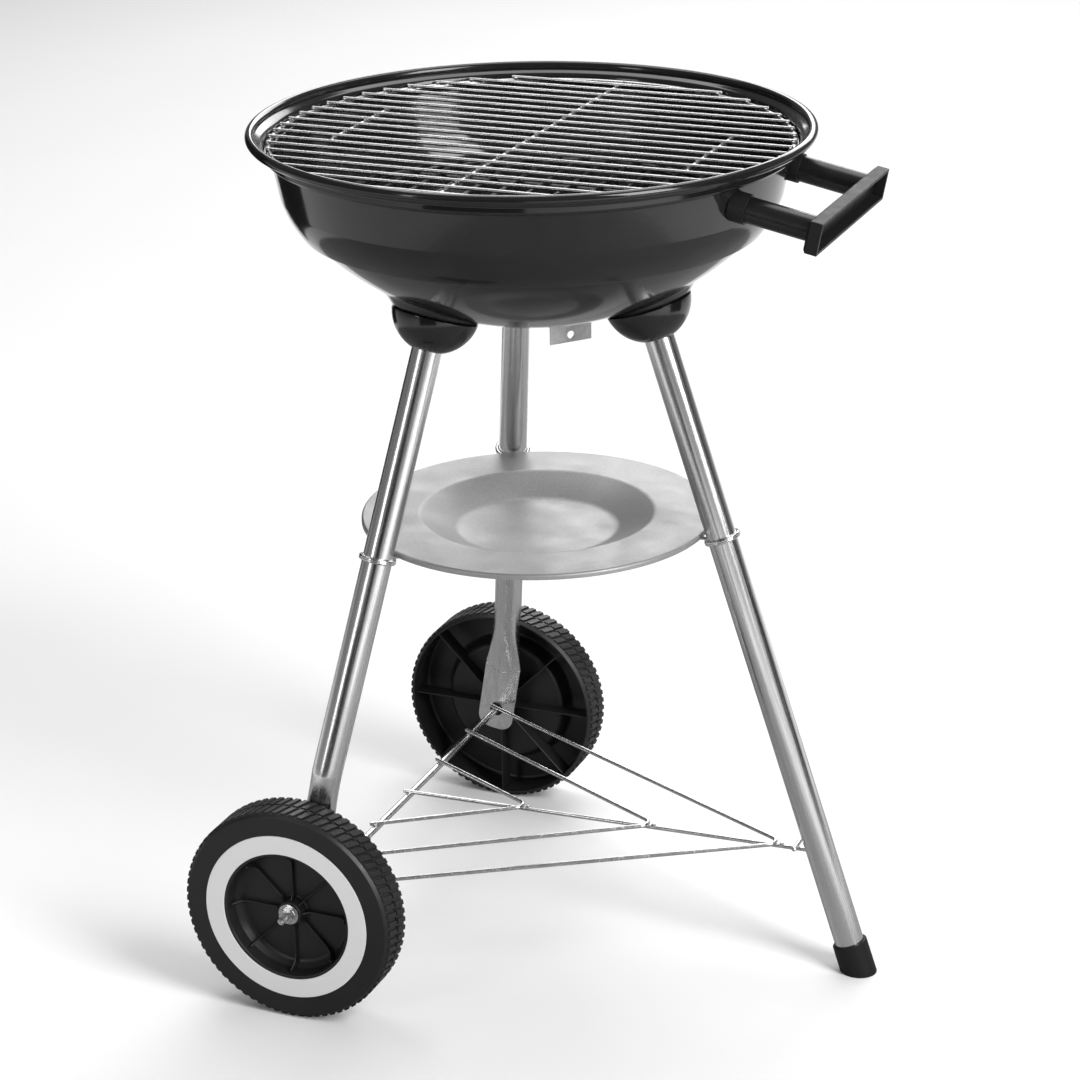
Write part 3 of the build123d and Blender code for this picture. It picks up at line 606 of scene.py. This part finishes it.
# %% Air holes
VENT_R = 13.0
VENT_CENTRE = 34.0
VENTS = 3
holes = []
for i in range(VENTS):
    turn = Matrix.Rotation(2 * math.pi * i / VENTS, 4, "Z")
    plug = lathe([(0, BASE_Z - 20), (VENT_R, BASE_Z - 20), (VENT_R, BASE_Z + 20), (0, BASE_Z + 20)], 64)
    holes.append(placed(plug, turn @ Matrix.Translation((VENT_CENTRE, 0, 0))))
bored(bowl, joined(holes))

# %% [markdown]
# ## The cups and legs
#
# A black half ball sits between the bowl and each leg and hides the bolt. It is turned in the
# leg's own frame, so its axis leans with the leg. The tubes could be cylinders, but two of them
# end in a tab that was squeezed flat in a press, so those are lofted through changing sections.

# %% The three cups
CUP_R = 36.0
CUP_RISE = 5.0
LEG_R = 12.5
COLLAR_R = 13.4
ball = []
for k in range(40):
    height = CUP_RISE - CUP_R + 0.1 + 30.0 * k / 39
    ball.append((math.sqrt(CUP_R ** 2 - (height - CUP_RISE) ** 2), height, 0))
ball = [p for p in ball if p[0] > COLLAR_R + 0.3]
cup_outline = eased(
    [(LEG_R + 0.1, ball[0][1] + 1.5, 0), (COLLAR_R, ball[0][1] - 0.3, 0.3)] + ball
    + [(35.6, -0.1, 0.6), (4.5, -0.1, 0), (4.5, -3, 0), (LEG_R + 0.1, -3, 0)], 0.5, steps=3)
for leg in LEGS:
    piece(f"cup_{leg}", lathe(cup_outline, 128), "cup_plastic", nodes=[f"leg_cup_{leg}"],
          place=leg_frame(leg, CUP_TOP_Z))

# %% The foot leg and its cap
CUP_WALL = 3.0
CAP_SOLE = 7.0
CAP_R = 15.0
CAP_LENGTH = 20.0
length = (CUP_TOP_Z - CAP_SOLE) / math.cos(LEAN) - CUP_WALL
foot_outline = eased([(LEG_R - 1.2, 0), (LEG_R, 0), (LEG_R, length), (LEG_R - 1.2, length)], 0.3, steps=2)
cap_frame = leg_frame("foot", CAP_SOLE)
piece("foot_leg_tube", lathe(foot_outline, 96), "bright_tube", nodes=["leg_foot"], place=cap_frame)

cap_outline = eased([(0, -14, 0), (CAP_R, -14, 0), (CAP_R - 0.1, CAP_LENGTH, 1.2),
                     (LEG_R + 0.1, CAP_LENGTH, 0.3), (LEG_R + 0.1, 0, 0), (0, 0, 0)], 0.4)
cap = lathe(cap_outline, 96)
to_ground = cap_frame.inverted()
level = []
for p in cap[0]:
    ground = cap_frame @ p
    if ground.z < 0:
        ground = ground + Vector((math.sin(LEAN), 0, -math.cos(LEAN))) * (ground.z / math.cos(LEAN))
    level.append(to_ground @ ground)
piece("foot_cap_moulding", (level, cap[1]), "black_plastic", nodes=["foot_cap"], place=cap_frame, bevel=0.5)

# %% [markdown]
# ### The squeezed ends
#
# When a press flattens a tube, the round changes into a wide flat over a few diameters, and the
# end of the press leaves a shallow curved crease. The sections below are rounded rectangles
# whose width grows while their depth shrinks; the crease is a dip that follows a curve.

# %% Sections of the squeezed tube
TAB_W = 35.0
TAB_T = 3.2
TAB_MIDDLE_Y = 201.6
TAB_TOP_Z = 140.0
SQUEEZE_TOP_Z = 204.0
TAB_BELOW = 20.0
TAB_CORNER = 12.0
CREASE_SAG = 7.0
CREASE_DEPTH = 0.55
SECTION_POINTS = 72


def smooth(t):
    """A step from 0 to 1 with level ends."""
    t = min(max(t, 0.0), 1.0)
    return t * t * (3 - 2 * t)


def tube_section(width, depth):
    """Rounded outline that becomes a circle when width and depth are equal."""
    round_off = depth / 2 * 0.999
    flat = width / 2 - round_off
    outline = []
    for k in range(SECTION_POINTS):
        t = 2 * math.pi * (k + 0.5) / SECTION_POINTS
        stretch = flat * max(-1.0, min(1.0, math.cos(t) * 1.35))
        outline.append((round_off * math.cos(t) + stretch, round_off * math.sin(t)))
    return outline


round_frame = leg_frame("rear", SQUEEZE_TOP_Z)
tilt = math.tan(LEAN) * math.cos(math.radians(60))
tab_up = Vector((tilt, 0, 1)).normalized()
tab_side = Vector((tab_up.z, 0, -tab_up.x))
tab_face = Vector((0, 1, 0))
tube_up = round_frame.col[2].to_3d()
tube_side = (tab_side - tube_up * tab_side.dot(tube_up)).normalized()
tube_face = tube_side.cross(tube_up)
if tube_face.y < 0:
    tube_face = -tube_face
crease = Vector((AXLE_X, TAB_MIDDLE_Y, AXLE_Z)) + tab_up * ((TAB_TOP_Z - AXLE_Z) / tab_up.z)
print("the crease is at", [round(v, 1) for v in crease])


# %% Loft one wheel leg
def wheel_leg_shape():
    """Rings from the cup down the tube, through the squeeze, to the tab's end."""
    rings = []
    top = (CUP_TOP_Z - SQUEEZE_TOP_Z) / math.cos(LEAN) - CUP_WALL
    start = round_frame.translation
    for height in (top, top * 0.75, top * 0.5, top * 0.25, 12.0, 6.0):
        rings.append([start + tube_up * height + tube_side * x + tube_face * y
                      for x, y in tube_section(2 * LEG_R, 2 * LEG_R)])
    steps = 30
    for i in range(steps + 1):
        t = i / steps
        ease = smooth(t)
        width = 2 * LEG_R - 1.2 * math.sin(math.pi * t) + (TAB_W - 2 * LEG_R) * t ** 2.2
        depth = 2 * LEG_R + (TAB_T - 2 * LEG_R) * smooth(t ** 1.15)
        side = tube_side.lerp(tab_side, ease).normalized()
        face = tube_face.lerp(tab_face, ease).normalized()
        centre = start.lerp(crease, t)
        rings.append([centre + side * x + face * y
                      - tab_up * (CREASE_SAG * ease * (1 - (2 * x / width) ** 2))
                      for x, y in tube_section(width, depth)])
    run = (TAB_TOP_Z - AXLE_Z) / tab_up.z + TAB_BELOW
    for step in (0.6, 1.2, 1.8, 2.6, 5, 10, 16, 24, 34, 44):
        dip = CREASE_DEPTH if step in (0.6, 1.2) else 0.0
        sag = CREASE_SAG * (1 - step / run) ** 2
        rings.append([crease - tab_up * step + tab_side * x + tab_face * (y - math.copysign(dip, y))
                      - tab_up * (sag * (1 - (2 * x / TAB_W) ** 2)) for x, y in tube_section(TAB_W, TAB_T)])
    for k in range(9):
        angle = math.pi / 2 * k / 9
        low = run - TAB_CORNER + TAB_CORNER * math.sin(angle)
        width = TAB_W - 2 * TAB_CORNER * (1 - math.cos(angle))
        rings.append([crease - tab_up * low + tab_side * x + tab_face * y
                      for x, y in tube_section(width, TAB_T)])
    return skinned(rings)


def mirrored(shape):
    """The front twin of a shape from the rear side."""
    return [Vector((p.x, -p.y, p.z)) for p in shape[0]], [list(reversed(face)) for face in shape[1]]


TAB_HOLE_R = 6.5
hole = lathe([(0, 180), (TAB_HOLE_R, 180), (TAB_HOLE_R, 220), (0, 220)], 48)
along_axle = Matrix.Translation((AXLE_X, 0, AXLE_Z)) @ Matrix.Rotation(math.radians(-90), 4, "X")
hole = placed(hole, along_axle)
leg_shape = wheel_leg_shape()
for leg, shape, hole_shape in (("rear", leg_shape, hole), ("front", mirrored(leg_shape), mirrored(hole))):
    own = leg_frame(leg, CUP_TOP_Z)
    made = piece(f"{leg}_leg_tube", placed(shape, own.inverted()), "bright_tube",
                 nodes=[f"leg_{leg}"], place=own)
    bored(made, placed(hole_shape, own.inverted()), own)

# %% [markdown]
# ## The wheels
#
# Each wheel is one hard plastic moulding: a wide tread with two rows of slanted lugs, a side
# wall with a pale ring let into it, and a sunk web stiffened by eight ribs on each face. The
# round parts come off the lathe and the ribs and lugs are small blocks set round it.

# %% The wheel's turned body
TREAD_INNER_Y = 207.8
TREAD_W = 36.2
WHEEL_R = AXLE_Z
LUG = 1.5
TREAD_R = WHEEL_R - LUG
TRIM_IN = 56.9
TRIM_OUT = 73.3
WEB_IN = 15.0
WEB_OUT = 18.5
HUB_R = 11.0
HUB_LOW = -2.4
HUB_HIGH = 29.7
BORE_R = 3.08

wheel_outline = eased([
    (BORE_R, HUB_LOW, 0.3), (HUB_R, HUB_LOW, 0.8), (HUB_R, WEB_IN, 1.5), (TRIM_IN, WEB_IN, 5),
    (TRIM_IN + 5, TREAD_W - 5, 4), (88.3, TREAD_W - 5, 3), (88.3, 0, 0.6), (89.6, 0, 0.8),
    (TREAD_R, 3.2, 0.8), (TREAD_R, TREAD_W - 3.2, 0.8), (89.6, TREAD_W, 1.0), (TRIM_OUT, TREAD_W, 0.3),
    (TRIM_OUT, TREAD_W - 0.8, 0), (TRIM_IN, TREAD_W - 0.8, 0), (54.4, TREAD_W - 0.8, 1.0),
    (53.2, 24, 4), (48.5, WEB_OUT, 5), (HUB_R, WEB_OUT, 2), (HUB_R - 0.6, HUB_HIGH, 0.9),
    (BORE_R, HUB_HIGH, 0.3),
], 0.5, steps=5)
wheel_body = lathe(wheel_outline, 240)
print("wheel outline", len(wheel_outline), "points")

# %% Ribs and lugs
SPOKES = 8
RIB_T = 1.4
LUGS = 76
LUG_SLANT = math.radians(2.6)
outer_rib = [(8, WEB_OUT - 1), (52.0, WEB_OUT - 1), (53.6, 31.5), (51.2, 31.5), (47.5, 24.5),
             (43, WEB_OUT + 3.6), (HUB_R + 4, WEB_OUT + 3.6), (HUB_R, WEB_OUT + 8), (8, WEB_OUT + 8)]
inner_rib = [(8, 3), (90, 3), (90, 20), (60, 20), (56, WEB_IN + 1), (8, WEB_IN + 1)]
ribs = []
for i in range(SPOKES):
    turn = Matrix.Rotation(2 * math.pi * i / SPOKES, 4, "Z")
    ribs += [placed(slab(outer_rib, RIB_T), turn), placed(slab(inner_rib, RIB_T), turn)]


def lug(angle, low, high, lean):
    """One slanted block of the tread, narrower at its top."""
    corners = []
    for radius, half in ((TREAD_R - 0.6, 0.36), (WHEEL_R, 0.27)):
        for level, shift in ((low, 0.0), (high, lean)):
            end = 0.25 if radius == WHEEL_R else 0.0
            z = level + end if level == low else level - end
            for side in (-1, 1):
                t = angle + shift + side * half * 2 * math.pi / LUGS
                corners.append(Vector((radius * math.cos(t), radius * math.sin(t), z)))
    faces = [(0, 1, 3, 2), (4, 6, 7, 5), (0, 4, 5, 1), (2, 3, 7, 6), (0, 2, 6, 4), (1, 5, 7, 3)]
    return corners, faces


rows = ((3.0, TREAD_W / 2 - 1.1, 0.0), (TREAD_W / 2 + 1.1, TREAD_W - 3.0, 0.5))
lugs = [lug(2 * math.pi * (i + offset) / LUGS, low, high, LUG_SLANT)
        for low, high, offset in rows for i in range(LUGS)]
groove_outline = [(TREAD_R - 0.5, TREAD_W / 2 - 0.35), (TREAD_R + 0.9, TREAD_W / 2 - 0.35),
                  (TREAD_R + 0.9, TREAD_W / 2 + 0.35), (TREAD_R - 0.5, TREAD_W / 2 + 0.35)]
groove_ring = lathe(eased(groove_outline, 0.15, steps=2), 160)
print("ribs", len(ribs), "lugs", len(lugs))

# %% Set the wheels on the axle
trim_outline = [(TRIM_IN + 0.02, TREAD_W - 0.8), (TRIM_OUT - 0.1, TREAD_W - 0.8),
                (TRIM_OUT - 0.1, TREAD_W + 0.4), (TRIM_IN + 0.02, TREAD_W + 0.4)]
trim = lathe(eased(trim_outline, 0.35, steps=3), 200)


def wheel_frame(side):
    """Frame of a wheel at its centre, turned so that its outer face looks outwards."""
    turn = math.radians(-90 if side == "rear" else 90)
    return Matrix.Translation((AXLE_X, 0, AXLE_Z)) @ Matrix.Rotation(turn, 4, "X")


for side in ("rear", "front"):
    place = wheel_frame(side) @ Matrix.Translation((0, 0, TREAD_INNER_Y))
    body = f"{side}_wheel"
    piece(f"wheel_{side}_body", wheel_body, "wheel_plastic", body, [f"wheel_{side}"], place)
    piece(f"wheel_{side}_ribs", joined(ribs), "wheel_plastic", body, place=place, bevel=0.5)
    piece(f"wheel_{side}_tread", joined(lugs + [groove_ring]), "wheel_plastic", body, place=place, bevel=0.35)
    piece(f"wheel_{side}_ring", trim, "pale_trim", body, [f"wheel_trim_{side}"], place)

# %% [markdown]
# ## The axle and its fasteners
#
# The axle is a plain rod with a thread cut at each end. A true helix would need many thousands
# of points for something six millimetres across; equal rings cut on the lathe look the same.

# %% The threaded axle
PITCH = 1.25
THREAD_DEPTH = 0.45
THREAD_START = 236.0
half_axle = [(AXLE_R, 0.0), (AXLE_R, THREAD_START)]
at = THREAD_START
while at < AXLE_END - 2 * PITCH:
    half_axle += [(AXLE_R - THREAD_DEPTH, at + 0.35 * PITCH), (AXLE_R - THREAD_DEPTH, at + 0.5 * PITCH),
                  (AXLE_R, at + 0.85 * PITCH), (AXLE_R, at + PITCH)]
    at += PITCH
half_axle += [(AXLE_R, AXLE_END - 1.0), (AXLE_R - 1.0, AXLE_END), (0, AXLE_END)]
axle_outline = [(r, -y) for r, y in half_axle[:0:-1]] + half_axle[1:]
piece("threaded_axle", lathe(axle_outline, 32), "bright_wire", nodes=["axle"], place=wheel_frame("rear"))

# %% Fasteners that keep their CAD shape
for node in ("axle_nuts", "axle_washers", "leg_washers", "leg_bolts", "leg_inserts", "handle_bolts",
             "handle_inserts", "damper_nut", "damper_pivot", "damper_washer", "damper_rivets"):
    keep(node, "zinc_fasteners", 0.3)
keep("axle_bushes", "black_plastic", 0.3)

# %% [markdown]
# ## The wire rack
#
# Straight wires and three bent chevrons are resistance welded where they cross. Each weld
# squeezes out a little metal, so a small flattened bead marks every joint.

# %% Spine, chevrons and stop
WIRE_R = 1.75
SINK = 0.4
SPINE_END_X = 247.0
SPINE_END_Z = 105.7
spine_start_z = AXLE_Z + AXLE_R + WIRE_R - SINK
spine_slope = (SPINE_END_Z - spine_start_z) / (SPINE_END_X - AXLE_X)
OVERHANG = 4.5
BEND_R = 8.0
CHEVRONS = [("wide", 222.0, 197.5), ("middle", 106.0, 139.0), ("narrow", -11.0, 71.0)]


def spine_z(x):
    """Height of the spine's middle at an X."""
    return spine_start_z + spine_slope * (x - AXLE_X)


def chevron_path(apex_x, end_y):
    """A wire bent to a V, with a round bend at its apex."""
    apex_z = spine_z(apex_x) + 2 * WIRE_R - SINK
    slope = (apex_z - spine_start_z) / (apex_x - AXLE_X)
    corners = [(AXLE_X - OVERHANG, -end_y), (apex_x, 0, BEND_R), (AXLE_X - OVERHANG, end_y)]
    flat = eased(corners, 0, closed=False, steps=12)
    return [(x, y, spine_start_z + slope * (x - AXLE_X)) for x, y in flat]


spine_path = [(AXLE_X - OVERHANG, 0, spine_z(AXLE_X - OVERHANG)), (SPINE_END_X, 0, spine_z(SPINE_END_X))]
spine_beads = [bead((AXLE_X, 0, AXLE_Z + AXLE_R + 0.2), 2.1)]
piece("rack_spine_wire", joined([wire(spine_path, WIRE_R)] + spine_beads), "bright_wire",
      nodes=["rack_spine"])
for size, apex_x, end_y in CHEVRONS:
    tip = spine_z(apex_x) + WIRE_R
    welds = [bead((apex_x - 2.5, 0, tip), 2.2)]
    welds += [bead((AXLE_X, side * end_y * 0.99, AXLE_Z + AXLE_R + 0.2), 2.2) for side in (-1, 1)]
    piece(f"rack_{size}_wire", joined([wire(chevron_path(apex_x, end_y), WIRE_R)] + welds), "bright_wire",
          nodes=[f"rack_chevron_{size}"])
PIN_X = 233.0
PIN_R = 2.0
PIN_HALF = 10.0
pin_z = spine_z(PIN_X) + WIRE_R + PIN_R - SINK
pin = [wire([(PIN_X, -PIN_HALF, pin_z), (PIN_X, PIN_HALF, pin_z)], PIN_R),
       bead((PIN_X, 0, pin_z - PIN_R), 2.3)]
piece("rack_pin", joined(pin), "bright_wire", nodes=["rack_stop_pin"])

# %% [markdown]
# ## The ash tray and its clips
#
# The tray is pressed in one stroke: a sunk floor, a wide flat rim and a turned-down edge, all
# with the soft bends that sheet takes over a die. Each leg carries a spring clip, two turns of
# wire with a tail that reaches under the tray.

# %% The tray
TRAY_R = 148.0
TRAY_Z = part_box("ash_tray")[1].z / MM
TRAY_SHEET = 1.2
tray_top = eased([(0, TRAY_Z - 15), (67, TRAY_Z - 15, 16), (99, TRAY_Z, 10), (TRAY_R, TRAY_Z, 2.2),
                  (TRAY_R, TRAY_Z - 4.5)], 1, closed=False, steps=8)
tray_under = inset(tray_top, -TRAY_SHEET)
tray_under[0].x = 0
piece("tray_pressing", lathe(tray_top + tray_under[::-1], 240), "tray_steel", nodes=["ash_tray"])

# %% The clips
CLIP_R = 1.5
COIL_R = LEG_R + CLIP_R + 0.05
CLIP_PITCH = 2.8
tail_z = TRAY_Z - 4.5 - CLIP_R - 0.02
for leg in LEGS:
    place = leg_frame(leg, tail_z + COIL_R * math.sin(LEAN))
    turns = []
    for k in range(81):
        angle = math.radians(90 - 9 * k)
        turns.append(Vector((COIL_R * math.cos(angle), COIL_R * math.sin(angle), -CLIP_PITCH * k / 80)))
    heading = math.radians(LEGS[leg])
    inward = place.inverted().to_3x3() @ Vector((-math.cos(heading), -math.sin(heading), 0))
    middle = place.inverted() @ Vector((place.translation.x, place.translation.y, tail_z))
    tail = [middle + inward * (COIL_R * math.cos(LEAN) - 1), middle + inward * (COIL_R * math.cos(LEAN) + 21)]
    piece(f"clip_{leg}", joined([wire(turns, CLIP_R, 14), wire(tail, CLIP_R, 14)]), "bright_wire",
          nodes=[f"tray_clip_{leg}"], place=place)

# %% [markdown]
# ## The handle
#
# Two painted tubes leave the bowl through collars that fit its curve and plug into a moulded
# channel. The flat-sided grip is exact in CAD, so it stays and only has its edges softened.

# %% Tubes, collars and grip
DIP = math.radians(11.3)
HANDLE_TUBE_R = 10.5
TUBE_START = 1.0
GRIP_BACK = 60.5
for side, sign in (("rear", 1), ("front", -1)):
    out = Vector((math.cos(DIP), 0, -math.sin(DIP)))
    across = Vector((0, 1, 0))
    place = Matrix((across, out.cross(across), out)).transposed().to_4x4()
    place.translation = Vector((200.0, sign * 66.5, 678.5))
    outline = eased([(HANDLE_TUBE_R - 1.2, TUBE_START), (HANDLE_TUBE_R, TUBE_START),
                     (HANDLE_TUBE_R, GRIP_BACK), (HANDLE_TUBE_R - 1.2, GRIP_BACK)], 0.35, steps=3)
    piece(f"handle_{side}_tube", lathe(outline, 80), "black_paint",
          nodes=[f"handle_tube_{side}"], place=place)
keep("handle_saddles", "black_plastic", 0.5)
keep("handle_pads", "black_plastic", 0.4)
keep("handle_grip", "black_plastic", 0.7)
keep("damper_plate", "galvanised_steel", 0.25)
keep("damper_tab", "galvanised_steel", 0.3)

# %% [markdown]
# ## The grates
#
# Parallel bars lie on a wire ring and are welded to it. The cooking grate is chromed and hangs
# just below the rim. The charcoal grate is a guess: it lies square to the other, lower down, and
# its wire is coloured nearly black as painted shade, standing for the dark depth of the bowl, so
# that it doesn't stand out through the bars. The beads at the ends of the bars matter, because
# they catch the light all round the ring.

# %% A welded grate
def circle(radius, height, steps=240):
    """Points of a level circle."""
    return [(radius * math.cos(2 * math.pi * k / steps), radius * math.sin(2 * math.pi * k / steps), height)
            for k in range(steps)]


def chord(radius, distance):
    """Half the length of a circle's chord."""
    return math.sqrt(radius ** 2 - distance ** 2)


def turned_flat(path):
    """The same path turned a quarter round the bowl's axis."""
    return [(-y, x, z) for x, y, z in path]


RING_R = 211.3
RING_WIRE = 2.5
BAR_R = 1.5
BAR_REACH = 213.0
ring_z = SHOULDER_Z + SHEET + 0.3 + RING_WIRE
bar_z = ring_z + RING_WIRE + BAR_R - SINK
cross_z = ring_z + 0.5
bars, bar_welds, cross_welds = [], [], []
for i in range(20):
    y = (i - 9.5) * 20.0
    reach = chord(BAR_REACH, y)
    bars.append(wire([(-reach, y, bar_z), (reach, y, bar_z)], BAR_R, 20))
    ring_x = chord(RING_R, y)
    bar_welds += [bead((side * ring_x, y, ring_z + RING_WIRE + 0.1), 2.5) for side in (-1, 1)]
    cross_welds.append(bead((0, y, cross_z + 2.0), 2.2, 0.5))
    if abs(y) < 56:
        cross_welds += [bead((side * 152.0, y, cross_z + 2.0), 2.2, 0.5) for side in (-1, 1)]
crosses = [turned_flat([(-209, 0, cross_z), (209, 0, cross_z)])]
crosses += [turned_flat([(-56, side * 152.0, cross_z), (56, side * 152.0, cross_z)]) for side in (-1, 1)]
piece("cooking_ring", wire(circle(RING_R, ring_z), RING_WIRE, 18, closed=True), "chromed_wire",
      "cooking_grate", ["cooking_grate_ring"])
piece("cooking_bars", joined(bars + bar_welds), "chromed_wire", "cooking_grate", ["cooking_grate_bars"])
piece("cooking_cross_wires", joined([wire(path, 2.0) for path in crosses] + cross_welds), "chromed_wire",
      "cooking_grate", ["cooking_grate_cross_wires"])

# %% The charcoal grate
COAL_R = 184.5
COAL_BARS = 15
COAL_PITCH = 24.0
COAL_CROSS_Y = 92.0
COAL_WIRE = 2.5
coal_ring_z = LEDGE_Z + SHEET + 0.3 + COAL_WIRE
coal_bar_z = coal_ring_z + 2 * COAL_WIRE - SINK
bars, welds = [], []
for i in range(COAL_BARS):
    x = (i - (COAL_BARS - 1) / 2) * COAL_PITCH
    reach = chord(COAL_R, x)
    bars.append(wire(turned_flat([(-reach, -x, coal_bar_z), (reach, -x, coal_bar_z)]), COAL_WIRE, 18))
    welds += [bead((x, side * (reach - 1), coal_ring_z + COAL_WIRE), 3.0, 0.6) for side in (-1, 1)]
reach = chord(COAL_R - 5.0, COAL_CROSS_Y)
crosses = [wire([(-reach, y, coal_ring_z), (reach, y, coal_ring_z)], COAL_WIRE)
           for y in (-COAL_CROSS_Y, COAL_CROSS_Y)]
piece("charcoal_ring", wire(circle(COAL_R, coal_ring_z), COAL_WIRE, 18, closed=True), "plain_wire",
      "charcoal_grate", ["charcoal_grate_ring"])
piece("charcoal_bars", joined(bars + welds), "plain_wire", "charcoal_grate", ["charcoal_grate_bars"])
piece("charcoal_cross_wires", joined(crosses), "plain_wire", "charcoal_grate", ["charcoal_grate_cross_wires"])

# %% [markdown]
# ## Floor and light
#
# The floor is a plain pale sheet. Glossy black and bright metal show what surrounds them, so the
# lamps are placed for their reflections: a tall soft window to the right, a narrow one to the
# left, broad ones overhead and behind that whiten the floor, and a dim sky for the rest. Black
# boards and a grey mat, which show in reflections only, take the place of a studio's black flags:
# they put dark stripes in the tubes and keep the pale floor from washing out the enamel. Without
# this cell of boards the grill looks lighter underneath.

# %% The pale floor
floor_mesh = bpy.data.meshes.new("floor")
half = 40.0
corners = [(-half, -half, 0), (half, -half, 0), (half, half, 0), (-half, half, 0)]
floor_mesh.from_pydata(corners, [], [(0, 1, 2, 3)])
floor = bpy.data.objects.new("floor", floor_mesh)
bpy.context.scene.collection.objects.link(floor)
pale = bpy.data.materials.new("pale_floor")
pale.use_nodes = True
pale_shader = pale.node_tree.nodes["Principled BSDF"]
pale_shader.inputs["Base Color"].default_value = (0.90, 0.90, 0.90, 1)
pale_shader.inputs["Specular IOR Level"].default_value = 0.0
floor_grain = grain(pale, 3.0)
rough(pale, floor_grain, 0.85, 0.95)
tinted(pale, floor_grain, grey(0.895), grey(0.905))
floor_mesh.materials.append(pale)
print("floor is", 2 * half, "metres across")


# %% Lamps
def soft_window(name, azimuth, elevation, distance, width, height, power):
    """Rectangular soft lamp that looks at the grill."""
    lamp = bpy.data.lights.new(name, "AREA")
    lamp.shape = "RECTANGLE"
    lamp.size, lamp.size_y, lamp.energy = width, height, power
    holder = bpy.data.objects.new(name, lamp)
    bpy.context.scene.collection.objects.link(holder)
    a, e = math.radians(azimuth), math.radians(elevation)
    aim = Vector((0, 0, 0.45))
    toward = Vector((math.cos(a) * math.cos(e), math.sin(a) * math.cos(e), math.sin(e)))
    holder.location = aim + toward * distance
    holder.rotation_euler = toward.to_track_quat("Z", "Y").to_euler()
    print(name, "at", [round(v, 2) for v in holder.location])


soft_window("right window", -22, 30, 3.2, 1.2, 2.6, 115)
soft_window("left window", -112, 14, 3.4, 0.7, 1.6, 18)
soft_window("top window", 112, 68, 3.4, 3.2, 2.2, 80)
soft_window("back window", 100, 24, 5.0, 3.6, 1.6, 96)


# %% Dark boards and mat
BOARD_DISTANCE = 1.25
BOARD_LOW, BOARD_HIGH = 0.05, 1.25
MAT_R, MAT_Z, MAT_SIDES = 1.1, 0.001, 64


def dark_finish(name, scale, dark, light):
    """Flat finish with no shine, for things that only darken a reflection."""
    made = bpy.data.materials.new(name)
    made.use_nodes = True
    made.node_tree.nodes["Principled BSDF"].inputs["Specular IOR Level"].default_value = 0.0
    tinted(made, grain(made, scale), grey(dark), grey(light))
    return made


def seen_in_reflections(name, corners, faces, finish):
    """Stage mesh that the camera doesn't see and that casts no shadow."""
    mesh = bpy.data.meshes.new(name)
    mesh.from_pydata(corners, [], faces)
    mesh.materials.append(finish)
    made = bpy.data.objects.new(name, mesh)
    bpy.context.scene.collection.objects.link(made)
    made.visible_camera = made.visible_diffuse = made.visible_shadow = False
    print(name, "has", len(corners), "corners")


def dark_board(name, start, end, steps=8):
    """Curved board round the grill, between two azimuths in degrees."""
    turns = [math.radians(start + (end - start) * k / steps) for k in range(steps + 1)]
    arc = [(BOARD_DISTANCE * math.cos(a), BOARD_DISTANCE * math.sin(a)) for a in turns]
    corners = [(x, y, BOARD_LOW) for x, y in arc] + [(x, y, BOARD_HIGH) for x, y in arc]
    sides = [(k, k + 1, k + steps + 2, k + steps + 1) for k in range(steps)]
    seen_in_reflections(name, corners, sides, board_black)


board_black = dark_finish("board_black", 5.0, 0.008, 0.012)
mat_grey = dark_finish("mat_grey", 4.0, 0.27, 0.32)
mat_turns = [2 * math.pi * k / MAT_SIDES for k in range(MAT_SIDES)]
mat_corners = [(MAT_R * math.cos(a), MAT_R * math.sin(a), MAT_Z) for a in mat_turns]
seen_in_reflections("dark mat", mat_corners, [tuple(range(MAT_SIDES))], mat_grey)
dark_board("front board", -112, -72)
dark_board("right board", -7, 28)
dark_board("rear board", 143, 173)

sky = bpy.data.worlds.new("studio")
sky.use_nodes = True
sky.node_tree.nodes["Background"].inputs["Color"].default_value = (1, 1, 1, 1)
sky.node_tree.nodes["Background"].inputs["Strength"].default_value = 0.16
bpy.context.scene.world = sky
bpy.context.scene.view_settings.view_transform = "Standard"
bpy.context.scene.view_settings.look = "None"

# %% [markdown]
# ## Camera
#
# A long lens from a little above shows the grill as a catalogue does, with the grate open to
# view and hardly any perspective. The lens is worked out for a picture 1080 dots across.

# %% The camera
SENSOR = 36.0
PICTURE = 1080
FOCAL_IN_DOTS = 3141.97
camera_data = bpy.data.cameras.new("camera")
camera_data.sensor_width = SENSOR
camera_data.lens = SENSOR * FOCAL_IN_DOTS / PICTURE
camera_data.clip_end = 200
camera = bpy.data.objects.new("camera", camera_data)
bpy.context.scene.collection.objects.link(camera)
yaw, pitch, roll_angle = math.radians(112.57), math.radians(21.17), math.radians(-0.9)
ahead = Vector((math.cos(yaw) * math.cos(pitch), math.sin(yaw) * math.cos(pitch), -math.sin(pitch)))
right = Vector((math.sin(yaw), -math.cos(yaw), 0))
above = right.cross(ahead)
right, above = (right * math.cos(roll_angle) + above * math.sin(roll_angle),
                above * math.cos(roll_angle) - right * math.sin(roll_angle))
stand = Matrix((right, above, -ahead)).transposed().to_4x4()
stand.translation = Vector((951.227, -2284.028, 1312.495)) * MM + Vector((BOWL_X, 0, 0))
camera.matrix_world = stand
bpy.context.scene.camera = camera
print("lens", round(camera_data.lens, 1), "mm, camera at", [round(v, 3) for v in stand.translation])
